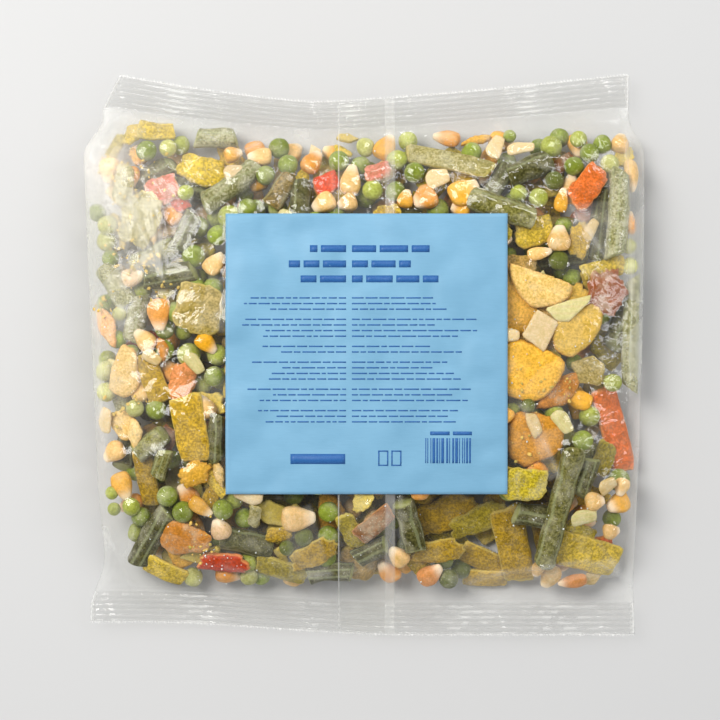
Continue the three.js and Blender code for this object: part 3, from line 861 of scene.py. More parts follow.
def scattered(kind, tree, material, unevenness, grain):
    """All the pieces of one kind, as one mesh."""
    pieces = heap.placed[kind]
    forms = dict(sorted(VARIANTS[kind].items()))
    shapes = list(forms.values())
    centres, turns, sizes, variants, colours, frosts = [], [], [], [], [], []
    for x, y, z, size, axes, (shade, form) in pieces:
        if kind == "bean":
            aspect = size[0] / size[1]
            form = "short" if aspect < 2.2 else "middle" if aspect < 3.6 else "long"
        own = form is not None
        variant = list(forms).index(form) if own else int(dice.integers(len(shapes)))
        spin = axes
        if kind in ("pea", "corn", "bean"):
            roll = Matrix.Rotation(dice.uniform(-0.5, 0.5) if kind == "corn" else dice.uniform(-3, 3), 3, "X")
            spin = axes if kind == "corn" and dice.random() < 0.4 else axes @ np.array(roll)
            if kind == "bean":
                size = (size[0], size[1], size[1])
            if kind == "pea":
                size = (size[0], size[0], size[0] * dice.uniform(0.9, 1.0))
        if not own and kind != "pea" and dice.random() < 0.5:
            spin = spin @ np.array(Matrix.Rotation(math.pi, 3, "Z"))
        if not own and kind in ("pepper", "red_pepper") and dice.random() < 0.3:
            spin = spin @ np.array(Matrix.Rotation(math.pi, 3, "X"))
        centres.append((x, y, z))
        turns.append(tuple(Matrix(spin).to_euler()))
        sizes.append(tuple(v * MM for v in size))
        variants.append(variant)
        colour = np.array(linear(KINDS[kind]["shades"][shade])) * dice.uniform(0.88, 1.12) * DEPTH_OF_COLOUR
        # Painted shade: colours darken towards the bottom of the bag.
        colour = colour * (1 - PAINTED_SHADE_BELOW * smooth(20, 80, -y))
        colours.append((*np.clip(colour, 0, 1), 1))
        frosts.append(FROST_OF.get(shade, USUAL_FROST) * dice.uniform(0.7, 1.2))
    points = mesh_object(kind, centres, [], attributes=[
        ("turn", "FLOAT_VECTOR", turns), ("size", "FLOAT_VECTOR", sizes), ("variant", "INT", variants),
        ("shade", "FLOAT_COLOR", colours), ("frost", "FLOAT", frosts)])
    home = bpy.data.collections.new(kind + "_shapes")
    bpy.context.scene.collection.children.link(home)
    for shape in shapes:
        home.objects.link(bpy.data.objects.new(shape.name, shape))
    mesh = grown(points, tree, Shapes=home, Unevenness=unevenness * MM, Grain=grain * MM, Material=material)
    mesh.name = kind
    for shape in list(home.objects):
        bpy.data.objects.remove(shape)
    bpy.data.collections.remove(home)
    return points


# Materials

def new_material(name):
    """A bare material, its tree, and the place on the object that a texture is read at."""
    material = bpy.data.materials.new(name)
    material.use_nodes = True
    tree = material.node_tree
    tree.nodes.clear()
    return material, tree, node(tree, "ShaderNodeTexCoord").outputs["Object"]


def painted(material, **surface):
    """End a material with a solid surface."""
    values = {label.replace("_", " "): value for label, value in surface.items()}
    shader = node(material.node_tree, "ShaderNodeBsdfPrincipled", values)
    node(material.node_tree, "ShaderNodeOutputMaterial", {"Surface": shader.outputs[0]})
    return material


def ramp(tree, value, low, high, to_low=0.0, to_high=1.0):
    return node(tree, "ShaderNodeMapRange", {"Value": value, "From Min": low, "From Max": high,
        "To Min": to_low, "To Max": to_high}, interpolation_type="SMOOTHSTEP").outputs[0]


def mix(tree, factor, a, b, blend="MIX"):
    made = node(tree, "ShaderNodeMix", {0: factor}, data_type="RGBA", blend_type=blend)
    for socket, value in ((made.inputs[6], a), (made.inputs[7], b)):
        if isinstance(value, bpy.types.NodeSocket):
            tree.links.new(value, socket)
        else:
            socket.default_value = (*value, 1)
    return made.outputs[2]


def noise_of(tree, where, scale, detail=2.0, roughness=0.5):
    return node(tree, "ShaderNodeTexNoise", {"Vector": where, "Scale": scale, "Detail": detail,
        "Roughness": roughness}).outputs[0]


def attribute(tree, name, output="Fac"):
    return node(tree, "ShaderNodeAttribute", attribute_name=name).outputs[output]


def patchy_material(name, scale, first, second, **surface):
    """Two shades in soft patches, with these values of the surface."""
    material, tree, where = new_material(name)
    patchy = ramp(tree, noise_of(tree, where, scale, 2.0), 0.3, 0.7)
    return painted(material, Base_Color=mix(tree, patchy, linear(first), linear(second)), **surface)


ICE_SHADE = (0.76, 0.72, 0.54)
TIP_SHARE = 0.85
DULL = 0.15


def vegetable(name, rough, bump, mottling, grain=0.1, cut=None, edge=None, stripes=None, pale_tip=None,
              sub=0.1):
    """A frozen vegetable's surface: its own shade, mottled, with frost and ice grains over it."""
    material, tree, where = new_material(name)
    shade = attribute(tree, "shade", "Color")
    frost = attribute(tree, "frost")
    part = attribute(tree, "part")
    mottled = noise_of(tree, where, 260.0, 2.0)
    level = ramp(tree, mottled, 0.25, 0.75, 1 - mottling, 1 + mottling * 0.7)
    speckled = noise_of(tree, where, 1100.0, 2.0, 0.7)
    level = math_of(tree, "MULTIPLY", level, ramp(tree, speckled, 0.36, 0.64, 1 - grain, 1 + grain * 0.6))
    colour = mix(tree, 1.0, shade, node(tree, "ShaderNodeCombineColor",
        {0: level, 1: level, 2: math_of(tree, "POWER", level, 2.0)}).outputs[0], "MULTIPLY")
    if cut:
        colour = mix(tree, math_of(tree, "MULTIPLY", part, cut[1]), colour, cut[0])
    if edge:
        ragged = math_of(tree, "MULTIPLY", part, ramp(tree, noise_of(tree, where, 420.0), 0.35, 0.6))
        colour = mix(tree, math_of(tree, "MULTIPLY", ragged, edge[1]), colour, edge[0])
    if stripes:
        local = node(tree, "ShaderNodeSeparateXYZ", {0: attribute(tree, "local", "Vector")}).outputs
        wave = math_of(tree, "SINE", math_of(tree, "MULTIPLY_ADD", local[1], stripes[1]))
        lines = ramp(tree, wave, 0.2, 1.0, 0.0, stripes[2])
        colour = mix(tree, lines, colour, stripes[0])
    if pale_tip:
        colour = mix(tree, math_of(tree, "MULTIPLY", part, TIP_SHARE), colour, pale_tip)
    grains = node(tree, "ShaderNodeTexVoronoi", {"Vector": where, "Scale": 900.0}).outputs["Distance"]
    cloud = noise_of(tree, where, 150.0, 2.0, 0.65)
    specks = ramp(tree, grains, 0.16, 0.30, 1.0, 0.0)
    iced = math_of(tree, "MULTIPLY", specks, ramp(tree, cloud, 0.40, 0.56))
    film_of_ice = math_of(tree, "MULTIPLY", ramp(tree, cloud, 0.42, 0.75), 0.55)
    amount = math_of(tree, "MULTIPLY", math_of(tree, "MAXIMUM", iced, film_of_ice), frost, clamp=True)
    colour = mix(tree, amount, colour, ICE_SHADE)
    height = math_of(tree, "ADD", math_of(tree, "MULTIPLY", noise_of(tree, where, 1500.0, 1.0), 0.5),
        math_of(tree, "MULTIPLY", amount, 1.2))
    dents = node(tree, "ShaderNodeBump", {"Height": height, "Strength": bump, "Distance": 0.0004})
    roughness = math_of(tree, "ADD", rough, math_of(tree, "MULTIPLY", amount, 0.25))
    return painted(material, Base_Color=colour, Normal=dents.outputs[0], Specular_IOR_Level=DULL,
        Roughness=roughness, Subsurface_Weight=sub, Subsurface_Radius=(0.8, 0.6, 0.3), Subsurface_Scale=0.002)


MATERIALS = {
    "pea": vegetable("pea_skin", 0.45, 0.6, 0.18, grain=0.2, sub=0.12),
    "corn": vegetable("corn_skin", 0.36, 0.4, 0.12, grain=0.14, pale_tip=linear((246, 226, 196)), sub=0.12),
    "bean": vegetable("bean_skin", 0.5, 1.0, 0.30, grain=0.55, cut=(linear((178, 182, 106)), 0.7),
        stripes=(linear((168, 176, 128)), 19.0, 0.3), sub=0.0),
    "pepper": vegetable("pepper_flesh", 0.42, 0.9, 0.24, grain=0.40,
        cut=(linear((232, 210, 110)), 0.4), sub=0.0),
    "red_pepper": vegetable("red_pepper_flesh", 0.40, 0.7, 0.20, grain=0.3,
        cut=(linear((240, 170, 100)), 0.5), sub=0.0),
    "potato": vegetable("potato_face", 0.55, 1.0, 0.12, grain=0.24,
        edge=(linear((200, 140, 60)), 0.5), sub=0.0),
    "onion": vegetable("onion_flesh", 0.36, 0.4, 0.06,
        stripes=(linear((214, 186, 138)), 26.0, 0.35), sub=0.2),
}
tree = scatter_tree()
ROUGHNESS_OF = {"pea": (0.6, 0.22), "corn": (0.7, 0.12), "bean": (0.9, 0.25), "pepper": (1.0, 0.5),
                "red_pepper": (1.1, 0.5), "potato": (1.0, 1.0), "onion": (0.9, 0.2)}
contents = [scattered(kind, tree, MATERIALS[kind], *ROUGHNESS_OF[kind]) for kind in KINDS]


# What the film lies on: the top of everything inside.  Nothing inside reaches past the film.

FOOD_END = INNER - 1.7
FOOD_SIDE = 0.985
BACK_CLEARANCE = 0.2
NEXT_CELL_DROP = 0.12
FACE_SAMPLES = [(1 / 3, 1 / 3, 1 / 3), (0.5, 0.5, 0), (0, 0.5, 0.5), (0.5, 0, 0.5), (0.7, 0.15, 0.15),
    (0.15, 0.7, 0.15), (0.15, 0.15, 0.7)]
tops = np.full(X.shape, -1.0)
for piece in contents:
    places = np.empty(len(piece.data.vertices) * 3)
    piece.data.vertices.foreach_get("co", places)
    places = places.reshape(-1, 3) / MM
    s = np.clip(s_of(places[:, 0], places[:, 1]), -FOOD_END, FOOD_END)
    u = np.clip((places[:, 0] - shift(s)) / half_width(s), -FOOD_SIDE, FOOD_SIDE)
    places[:, 0] = shift(s) + u * half_width(s)
    places[:, 1] = y_at(s, places[:, 0])
    underside = sample(back_base, places[:, 0], places[:, 1])
    places[:, 2] = np.maximum(places[:, 2], underside + BACK_CLEARANCE)
    piece.data.vertices.foreach_set("co", np.ravel(places * MM))
    ix = np.clip(np.round((places[:, 0] - xs[0]) / CELL).astype(int), 1, len(xs) - 2)
    iy = np.clip(np.round((places[:, 1] - ys[0]) / CELL).astype(int), 1, len(ys) - 2)
    for dy in (-1, 0, 1):
        for dx in (-1, 0, 1):
            less = 0.0 if dx == dy == 0 else NEXT_CELL_DROP
            np.maximum.at(tops, (iy + dy, ix + dx), places[:, 2] - less)
    piece.data.calc_loop_triangles()
    corners = np.empty(len(piece.data.loop_triangles) * 3, int)
    piece.data.loop_triangles.foreach_get("vertices", corners)
    corners = places[corners.reshape(-1, 3)]
    for weights in FACE_SAMPLES:
        inside = np.tensordot(corners, weights, ([1], [0]))
        ix = np.round((inside[:, 0] - xs[0]) / CELL).astype(int)
        iy = np.round((inside[:, 1] - ys[0]) / CELL).astype(int)
        np.maximum.at(tops, (iy, ix), inside[:, 2])

TOUCH, SEAL_TOUCH = 0.22, 0.15


def stretched(start, least, rounds, sag):
    """A skin pulled tight over what is under it, held at its border."""
    z = start.copy()
    held = ~in_body
    for _ in range(rounds):
        z = np.maximum(neighbours(z) / 4 - sag, least)
        z[held] = start[held]
    return z


SAG = 0.004
DEEPEST_DIP = 14.0
free = film_base - 0.3 - DEEPEST_DIP * (1 - smooth(0.15, 0.7, loose))
skin = stretched(film_base, np.maximum(tops + TOUCH, free), 220, SAG)


def crumple(x, y, size, seed, tone=False):
    """Flat facets with sharp creases between them, from 0 to 1; or one random tone for each facet."""
    rng = np.random.default_rng(seed)
    heads = rng.uniform((-110, -110), (110, 110), (int(220 * 220 / size**2), 2))
    warp_x = x + size * 0.7 * (value_noise(x, y, size * 1.3, seed + 1) - 0.5)
    warp_y = y + size * 0.7 * (value_noise(x, y, size * 1.3, seed + 2) - 0.5)
    nearest = np.full(x.shape, 1e9)
    second = np.full(x.shape, 1e9)
    tones = np.zeros(x.shape)
    for hx, hy in heads:
        d = np.hypot(warp_x - hx, warp_y - hy)
        tones = np.where(d < nearest, rng.random(), tones)
        second = np.minimum(second, np.maximum(nearest, d))
        nearest = np.minimum(nearest, d)
    return tones if tone else np.clip((second - nearest) / size, 0, 1)


def creases(x, y, size, seed):
    """Thin wandering ridges, from 0 to 1."""
    bent = x + size * 0.5 * value_noise(x, y, size * 0.6, seed + 1)
    ridge = 1 - np.abs(2 * value_noise(bent, y, size, seed) - 1)
    return ridge**10 * smooth(0.3, 0.7, value_noise(x, y, size * 2, seed + 2))


# Folds that the film has of its own, each a line of places on it
PLEATS = [
    [(40, -86), (51, -82.5), (66, -80.6), (85, -77), (96, -82.5)],
    [(77, 56), (85, 45), (90.5, 36), (93, 58)],
    [(-99.8, 21), (-99.4, -9), (-97.5, -43)],
    [(-99, -65), (-92, -77), (-86, -91)],
    [(-86, -65), (-91.5, -80)],
    [(88.5, -71), (100.5, -88)],
    [(99, 84), (100.5, 21), (99.8, -24)],
    [(-88.5, 59), (-75, 28), (-80, 54)],
    [(58.5, -19), (69, -36), (73.5, -47)],
    [(-13, 80.5), (-10.5, 54.5)],
    [(13.5, -53), (15, -88)],
    [(-52, -80), (-30, -85), (-12, -82)],
    [(-60, 84), (-48, 76), (-30, 84)],
    [(45, 84), (52, 74), (70, 70)],
]
PLEAT_HEIGHT, PLEAT_WIDTH = 0.5, 0.6
WIDE_FACETS, SMALL_FACETS, TIGHT_FACETS = 0.75, 0.35, 0.05
WIDE_WRINKLES, SMALL_WRINKLES = 0.3, 0.2
# Places where doubled film veils the food, by their corners
VEILS = [
    [(77, 56), (93, 58), (90.5, 36)],
    [(28, -84), (66, -79), (96, -77), (97, -84), (66, -85), (40, -89)],
    [(-88.5, 59), (-75, 58), (-75, 28), (-84, 35)],
    [(-95, -54), (-86, -62), (-88, -77), (-99, -71)],
    [(58.5, -19), (64, -19), (73.5, -45), (69, -47)],
    [(-58, 30), (-48, 28), (-52, 8), (-62, 12)],
    [(-30, -60), (-20, -56), (-12, -84), (-28, -84)],
    [(88, 74), (101, 82), (102, 18), (95, 34), (93, 58)],
]


def line_distance(places):
    """How far each cell is from a line of places."""
    nearest = np.full(X.shape, 1e9)
    for (ax, ay), (bx, by) in zip(places, places[1:]):
        t = ((X - ax) * (bx - ax) + (Y - ay) * (by - ay)) / ((bx - ax) ** 2 + (by - ay) ** 2)
        t = np.clip(t, 0, 1)
        nearest = np.minimum(nearest, np.hypot(X - lerp(ax, bx, t), Y - lerp(ay, by, t)))
    return nearest


def within(corners):
    """1 inside a shape with these corners, 0 outside."""
    inside = np.zeros(X.shape, bool)
    for (ax, ay), (bx, by) in zip(corners, corners[1:] + corners[:1]):
        if ay != by:
            inside ^= ((Y < ay) != (Y < by)) & (X < ax + (Y - ay) * (bx - ax) / (by - ay))
    return inside.astype(float)


pleat_distance = np.minimum.reduce([line_distance(places) for places in PLEATS])
pleat_distance = pleat_distance + 0.8 * (value_noise(X, Y, 4, 71) - 0.3)
veil = blurred(np.maximum.reduce([within(corners) for corners in VEILS]), 1)
veil = veil * (0.5 + 0.7 * value_noise(X, Y, 6, 72))
standing = np.clip(skin - tops, 0, 12) * in_body
room = smooth(0.3, 3.0, blurred(standing, 2))
facets = WIDE_FACETS * crumple(X, Y, 15, 5) + SMALL_FACETS * crumple(X, Y, 6.5, 8)
wrinkles = WIDE_WRINKLES * creases(X, Y, 9, 61) + SMALL_WRINKLES * creases(X, Y, 5, 64)
skin = skin + np.where(in_body, (0.15 + smooth(0.1, 1.2, blurred(standing, 1))) * wrinkles, 0)
skin = skin + np.where(in_body, PLEAT_HEIGHT * np.exp(-((pleat_distance / PLEAT_WIDTH) ** 2)), 0)
slack = 0.8 + 1.1 * smooth(0.3, 0.8, blurred(loose, 4))
skin = skin + np.where(in_body, room * facets * slack + TIGHT_FACETS * crumple(X, Y, 5, 13), 0)
edge_of_label = np.maximum(np.abs(X - LABEL_X) - LABEL_WIDTH / 2, np.abs(Y - LABEL_Y) - LABEL_LENGTH / 2)
under_label = 1 - smooth(-1.5, 1.5, edge_of_label)
paper = skin.copy()
for _ in range(3):
    paper = highest_near(paper, 2, 2)
paper = np.maximum(blurred(paper, 7), 0)
UNDER_PAPER = 0.35
pressed_down = np.minimum(skin, lerp(skin, paper - UNDER_PAPER, under_label))
skin = np.where(under_label > 0, pressed_down, skin)
standing = np.clip(skin - tops, 0, 12) * in_body


# The film: a closed shell, finer in its seals

FILM_COLUMNS = 288
BACK_STEP = 4
SEAL_ROWS = 28
BODY_ROWS = 212
t = np.linspace(-1, 1, FILM_COLUMNS + 1)
columns = np.sign(t) * (1 - (1 - np.abs(t)) ** 1.12)
seal_rows = np.linspace(0, 1, SEAL_ROWS + 1)
body_rows = np.linspace(-1, 1, BODY_ROWS + 1)[1:-1]
rows = np.concatenate([-HALF_LENGTH + CRIMP_DEPTH * seal_rows, INNER * body_rows,
    INNER + CRIMP_DEPTH * seal_rows])


def ripples(s, x):
    """Small puckers that run into the body from each seal."""
    near = np.exp(-((INNER - np.abs(s)).clip(0) / 7)) * (np.abs(s) < INNER)
    phase = x / 3.1 + 5 * value_noise(x, s, 24, 21)
    return near * (0.45 * np.sin(phase) + 0.25 * np.sin(phase * 2.3 + 1)) * value_noise(x, s * 0.3, 9, 22)


SEAL_GLINTS = [(-70, 1, 7), (-5, 1, 4), (62, 1, 6), (40, -1, 12), (75, -1, 14), (-62, -1, 8), (-20, -1, 5)]


def glinting(x, s):
    """Where a seal's ridges catch the light: places as (x, which seal, reach)."""
    total = 0.0
    for place, end, reach in SEAL_GLINTS:
        total = total + np.exp(-(((x - place) / reach) ** 2)) * (s * end > 0)
    return np.clip(total, 0, 1) * smooth(0.35, 0.6, value_noise(x, s * 3, 2.6, 37))


def crimps(s, x):
    """The pressed ridges of a seal, with two fine lines between them."""
    t = (np.abs(s) - INNER) / CRIMP_PITCH
    ridge = np.cos(2 * math.pi * t) + 0.3 * np.cos(6 * math.pi * t)
    cross_folds = 0.7 * np.exp(-(((np.abs(((x + 0.35 * s) % 37) - 18)) / 1.1) ** 2))
    return CRIMP_RELIEF * ridge * smooth(0, 0.06, outward(s)) + cross_folds * outward(s)


covered_tops = SEAL_TOUCH + highest_near(tops, 2)


def film_points(side, us):
    s, u = np.meshgrid(rows, us, indexing="ij")
    x = shift(s) + u * half_width(s)
    y = y_at(s, x)
    if side > 0:
        z = front_height(s, x, u)
        inner = (1 - smooth(0.93, 0.985, np.abs(u))) * (1 - smooth(INNER - 2, INNER - 0.4, np.abs(s)))
        z = lerp(z, sample(skin, x, y), inner) + 0.8 * ripples(s, x) * (1 - np.abs(u) ** 6)
        near_seal = (np.abs(s) < INNER - 0.1) & (np.abs(s) > INNER - 3)
        z = np.where(near_seal, np.maximum(z, sample(covered_tops, x, y)), z)
    else:
        z = back_height(s, x, u)
    edge = 1 - np.abs(u) ** 30
    z = z + crimps(s, x) * (outward(s) > 0) * edge
    return x, y, np.maximum(z, 0.0)


back_columns = columns[::BACK_STEP]
fx, fy, fz = film_points(1, columns)
bx, by, bz = film_points(-1, back_columns)
n_rows, n_cols = fx.shape
front_index = np.arange(n_rows * n_cols).reshape(n_rows, n_cols)
back_index = n_rows * n_cols + np.arange(n_rows * len(back_columns)).reshape(n_rows, -1)
back_index[:, 0] = front_index[:, 0]
back_index[:, -1] = front_index[:, -1]
film_verts = np.concatenate([np.stack(side, -1).reshape(-1, 3) for side in ((fx, fy, fz), (bx, by, bz))])


def quads(index, flip):
    a, b = index[:-1, :-1].ravel(), index[:-1, 1:].ravel()
    c, d = index[1:, 1:].ravel(), index[1:, :-1].ravel()
    return np.stack([a, d, c, b] if flip else [a, b, c, d], -1).tolist()


def closed_sheet(x, y, low, high):
    """A thin closed sheet over a grid of places, between two heights."""
    n = x.size
    index = np.arange(n).reshape(x.shape)
    verts = np.concatenate([np.stack([x, y, z], -1).reshape(-1, 3) for z in (high, low)])
    faces = quads(index, False) + quads(index + n, True)
    rim = [*index[0], *index[1:, -1], *index[-1, -2::-1], *index[-2:0:-1, 0]]
    for a, b in zip(rim, rim[1:] + rim[:1]):
        faces.append([int(a), int(a + n), int(b + n), int(b)])
    return verts, faces


film_faces = quads(front_index, False) + quads(back_index, True)
for row, flip in ((0, False), (n_rows - 1, True)):
    for k in range(len(back_columns) - 1):
        near = [front_index[row, BACK_STEP * k + j] for j in range(BACK_STEP, -1, -1)]
        loop = [back_index[row, k], back_index[row, k + 1], *near]
        loop = [v for i, v in enumerate(loop) if v not in loop[:i]]
        film_faces.append([int(v) for v in (reversed(loop) if flip else loop)])


loose_soft = blurred(loose, 3)
facet_tone = crumple(X, Y, 13, 55, tone=True)
small_facet_tone = crumple(X, Y, 6, 58, tone=True)
gap_soft = blurred(smooth(0.35, 2.2, standing), 1)


# How milky the film is in each place, from 0 to 1, with painted reflection and painted highlight in it
VEIL_HAZE = 0.14
FOLD_HAZE = 0.16
GAP_HAZE = 0.03
LOOSE_HAZE, LOOSE_FACET_SHEEN = 0.09, 0.12
UPPER_LEFT_HAZE_AND_SHEEN = 0.34
PAINTED_FACET_SHEEN = 0.07
BACK_HAZE = 0.005
WELD_HAZE = 0.10
SIDE_HAZE = 0.16
SEAL_HAZE, RIDGE_HAZE_AND_HIGHLIGHT, SEAL_WELD_HAZE, GLINT_HAZE = 0.05, 0.07, 0.04, 0.4
RIM_HAZE = 0.8
TOOTH_HAZE = 0.4
FLAP_HAZE, FREE_EDGE_HAZE = 0.02, 0.35


def haze_and_sheen_at(x, y, s, front):
    """How milky the film is: most where it stands off the food, in the seals and in the weld. Some of it is
    painted reflection on facets and at the upper left, and painted highlight on the seal ridges.
    """
    u = (x - shift(s)) / half_width(s)
    seal = smooth(0.0, 0.05, outward(s))
    weld = smooth(WELD_LEFT - 0.4, WELD_LEFT, x) * (1 - smooth(SEAM_RIGHT, SEAM_RIGHT + 0.4, x))
    side = smooth(0.95, 0.99, np.abs(u))
    if front:
        off = sample(loose_soft, x, y)
        fog = 0.45 + 0.9 * value_noise(x, y, 7, 31) * value_noise(x, y, 19, 32)
        # Painted reflection: some facets, chosen at random, are made whiter, standing in for facets that
        # mirror the lamps.
        wedge = smooth(0.55, 0.75, sample(facet_tone, x, y))
        wedge = wedge + 0.5 * smooth(0.6, 0.8, sample(small_facet_tone, x, y))
        # Painted reflection: the upper left is milky white, partly fog in the film and partly the window
        # lamp's reflection painted as haze.
        upper_left_sheen_area = (1 - smooth(-92, -52, x)) * smooth(0, 45, y)
        body = GAP_HAZE * sample(gap_soft, x, y) + off * (LOOSE_HAZE * fog + LOOSE_FACET_SHEEN * wedge)
        body = body + UPPER_LEFT_HAZE_AND_SHEEN * upper_left_sheen_area * fog
        body = body + PAINTED_FACET_SHEEN * wedge * smooth(0.35, 0.7, value_noise(x, y, 23, 34))
        # The haze and painted sheen above fade towards the bottom.
        body = body * (0.3 + 0.7 * smooth(-70, -10, y))
        fold = np.exp(-((sample(pleat_distance, x, y) / 0.9) ** 2))
        body = body + VEIL_HAZE * sample(veil, x, y) + FOLD_HAZE * fold
    else:
        body = BACK_HAZE
    body = np.clip(body + WELD_HAZE * weld + SIDE_HAZE * side, 0, 1)
    lines = 0.5 + 0.5 * np.cos(2 * math.pi * (np.abs(s) - INNER) / CRIMP_PITCH)
    # Pressed film is milky; the whiter crimp lines are partly pressed film and partly painted highlight, and
    # the glint patches are painted highlight.
    pressed = SEAL_HAZE + RIDGE_HAZE_AND_HIGHLIGHT * lines + SEAL_WELD_HAZE * weld + GLINT_HAZE * lines * glinting(x, s)
    rim = smooth(0.991, 0.997, np.abs(u))
    return np.maximum(lerp(body, pressed, seal), RIM_HAZE * rim * seal)


fs, _ = np.meshgrid(rows, columns, indexing="ij")
bs, _ = np.meshgrid(rows, back_columns, indexing="ij")
film_haze_and_sheen = np.concatenate([np.ravel(haze_and_sheen_at(fx, fy, fs, True)), np.ravel(haze_and_sheen_at(bx, by, bs, False))])
film_smoke = np.concatenate([np.ravel(smooth(0.0, 0.1, outward(s))) for s in (fs, bs)])


SMOKE_TINT = (0.93, 0.93, 0.925)


def film_material(name, tint, gloss, rough):
    """Clear plastic: what is behind it shows through, with a haze, and it mirrors the lamps.

    The haze scatters light forwards, so the film casts hardly any shadow.  Only its outer side mirrors, as
    film is too thin to hold light in.
    """
    material, tree, where = new_material(name)
    haze = attribute(tree, "haze")
    smoke = attribute(tree, "smoke")
    warp = node(tree, "ShaderNodeTexNoise", {"Vector": where, "Scale": 150.0, "Detail": 1.0}).outputs["Color"]
    bent = node(tree, "ShaderNodeVectorMath", {0: warp, 1: (0.006, 0.006, 0.006), 2: where},
        operation="MULTIPLY_ADD").outputs[0]

    def folds(scale):
        """Flat facets that meet in sharp creases."""
        return node(tree, "ShaderNodeTexVoronoi", {"Vector": bent, "Scale": scale},
            feature="DISTANCE_TO_EDGE").outputs["Distance"]

    folded = math_of(tree, "ADD", folds(120.0), math_of(tree, "MULTIPLY", folds(310.0), 0.5))
    relief = node(tree, "ShaderNodeBump", {"Height": folded, "Strength": 0.5, "Distance": 0.0006}).outputs[0]
    clear = node(tree, "ShaderNodeBsdfTransparent", {"Color": mix(tree, smoke, tint, SMOKE_TINT)})
    white = node(tree, "ShaderNodeBsdfDiffuse", {"Color": (0.96, 0.96, 0.94, 1), "Normal": relief})
    through = node(tree, "ShaderNodeBsdfTranslucent", {"Color": (0.98, 0.98, 0.96, 1)})
    milk = node(tree, "ShaderNodeMixShader", {0: 0.45, 1: white.outputs[0], 2: through.outputs[0]})
    body = node(tree, "ShaderNodeMixShader", {0: haze, 1: clear.outputs[0], 2: milk.outputs[0]})
    spread = math_of(tree, "MULTIPLY_ADD", haze, 0.5)
    spread.node.inputs[2].default_value = rough
    mirror = node(tree, "ShaderNodeBsdfGlossy", {"Color": (1, 1, 1, 1), "Roughness": spread,
        "Normal": relief})
    facing = node(tree, "ShaderNodeFresnel", {"IOR": 1.5, "Normal": relief}).outputs[0]
    clearness = math_of(tree, "SUBTRACT", 1.0, haze, clamp=True)
    inner_side = node(tree, "ShaderNodeNewGeometry").outputs["Backfacing"]
    clearness = math_of(tree, "MULTIPLY", clearness, math_of(tree, "SUBTRACT", 1.0, inner_side))
    shine = math_of(tree, "MULTIPLY", math_of(tree, "MULTIPLY", facing, clearness), gloss, clamp=True)
    seen = node(tree, "ShaderNodeMixShader", {0: shine, 1: body.outputs[0], 2: mirror.outputs[0]})
    path = node(tree, "ShaderNodeLightPath").outputs
    inside = math_of(tree, "MAXIMUM", path["Is Shadow Ray"], path["Is Diffuse Ray"])
    whole = node(tree, "ShaderNodeMixShader", {0: inside, 1: seen.outputs[0], 2: clear.outputs[0]})
    node(tree, "ShaderNodeOutputMaterial", {"Surface": whole.outputs[0]})
    return material


clear_film = film_material("clear_film", (0.99, 0.99, 0.985), 1.0, 0.07)
seam_film = film_material("seam_film", (0.995, 0.995, 0.99), 0.6, 0.1)
film = mesh_object("film", film_verts, film_faces, clear_film,
    [("haze", "FLOAT", film_haze_and_sheen), ("smoke", "FLOAT", film_smoke)])


# The overlap seam: a second strip of film down the front, with its free edge at the left

FLAP_THICKNESS = 0.08


def strip(x_values, lift, thick):
    """A thin closed strip that follows the front of the film from cut edge to cut edge."""
    s, x = np.meshgrid(rows[1:-1], x_values, indexing="ij")
    y = y_at(s, x)
    z = np.array([np.interp(x[row], fx[row + 1], fz[row + 1]) for row in range(len(s))]) + lift(x, s)
    covered = smooth(-2.0, -0.5, LABEL_LENGTH / 2 - np.abs(y - LABEL_Y))
    z = np.where(covered > 0, np.minimum(z, lerp(z, sample(paper, x, y) - thick - 0.06, covered)), z)
    return closed_sheet(x, y, z, z + thick)


def flap_lift(x, s):
    curl = 0.5 * np.exp(-(((x - SEAM_LEFT) / 0.8) ** 2)) * (0.4 + value_noise(x * 0, s, 13, 41))
    ridges = sum(np.exp(-(((x - side) / 0.3) ** 2)) for side in (WELD_LEFT + 0.4, SEAM_RIGHT - 0.4))
    return 0.12 + curl + 0.16 * ridges


flap_x = np.concatenate([np.linspace(SEAM_LEFT, SEAM_LEFT + 2, 7), np.linspace(-6.5, 7, 14),
    np.linspace(WELD_LEFT - 0.4, SEAM_RIGHT, 13)])
flap_verts, flap_faces = strip(flap_x, flap_lift, FLAP_THICKNESS)
weld = smooth(WELD_LEFT - 0.5, WELD_LEFT, flap_verts[:, 0])
free_edge = 1 - smooth(0.1, 0.7, flap_verts[:, 0] - SEAM_LEFT)
flap_haze = FLAP_HAZE + WELD_HAZE * weld + FREE_EDGE_HAZE * free_edge
flap = mesh_object("overlap_seam", flap_verts, flap_faces, seam_film, [("haze", "FLOAT", flap_haze)])


# The cut edges of the seals: a row of small teeth

def teeth_tree():
    """A tooth on each point of an edge, turned along it."""
    tree, given = new_tree("cut_teeth", Width="Float", Length="Float", Thickness="Float", Seed="Int",
        Material="Material")
    tooth = node(tree, "GeometryNodeMeshCone", {"Vertices": 4, "Radius Top": 0.0, "Radius Bottom": 0.5,
        "Depth": 1.0})
    turn = node(tree, "FunctionNodeEulerToRotation", {"Euler": stored(tree, "turn", "FLOAT_VECTOR")})
    size = node(tree, "ShaderNodeCombineXYZ", {0: given["Width"], 1: given["Thickness"], 2: given["Length"]})
    random = node(tree, "FunctionNodeRandomValue", {2: 0.75, 3: 1.2, "Seed": given["Seed"]},
        data_type="FLOAT")
    uneven = node(tree, "ShaderNodeVectorMath", {0: size.outputs[0], "Scale": random.outputs[1]},
        operation="SCALE")
    spread = node(tree, "GeometryNodeInstanceOnPoints", {"Points": given["Geometry"],
        "Instance": tooth.outputs["Mesh"], "Rotation": turn.outputs[0], "Scale": uneven.outputs[0]})
    real = node(tree, "GeometryNodeRealizeInstances", {"Geometry": spread.outputs[0]})
    return finished(tree, real, given)


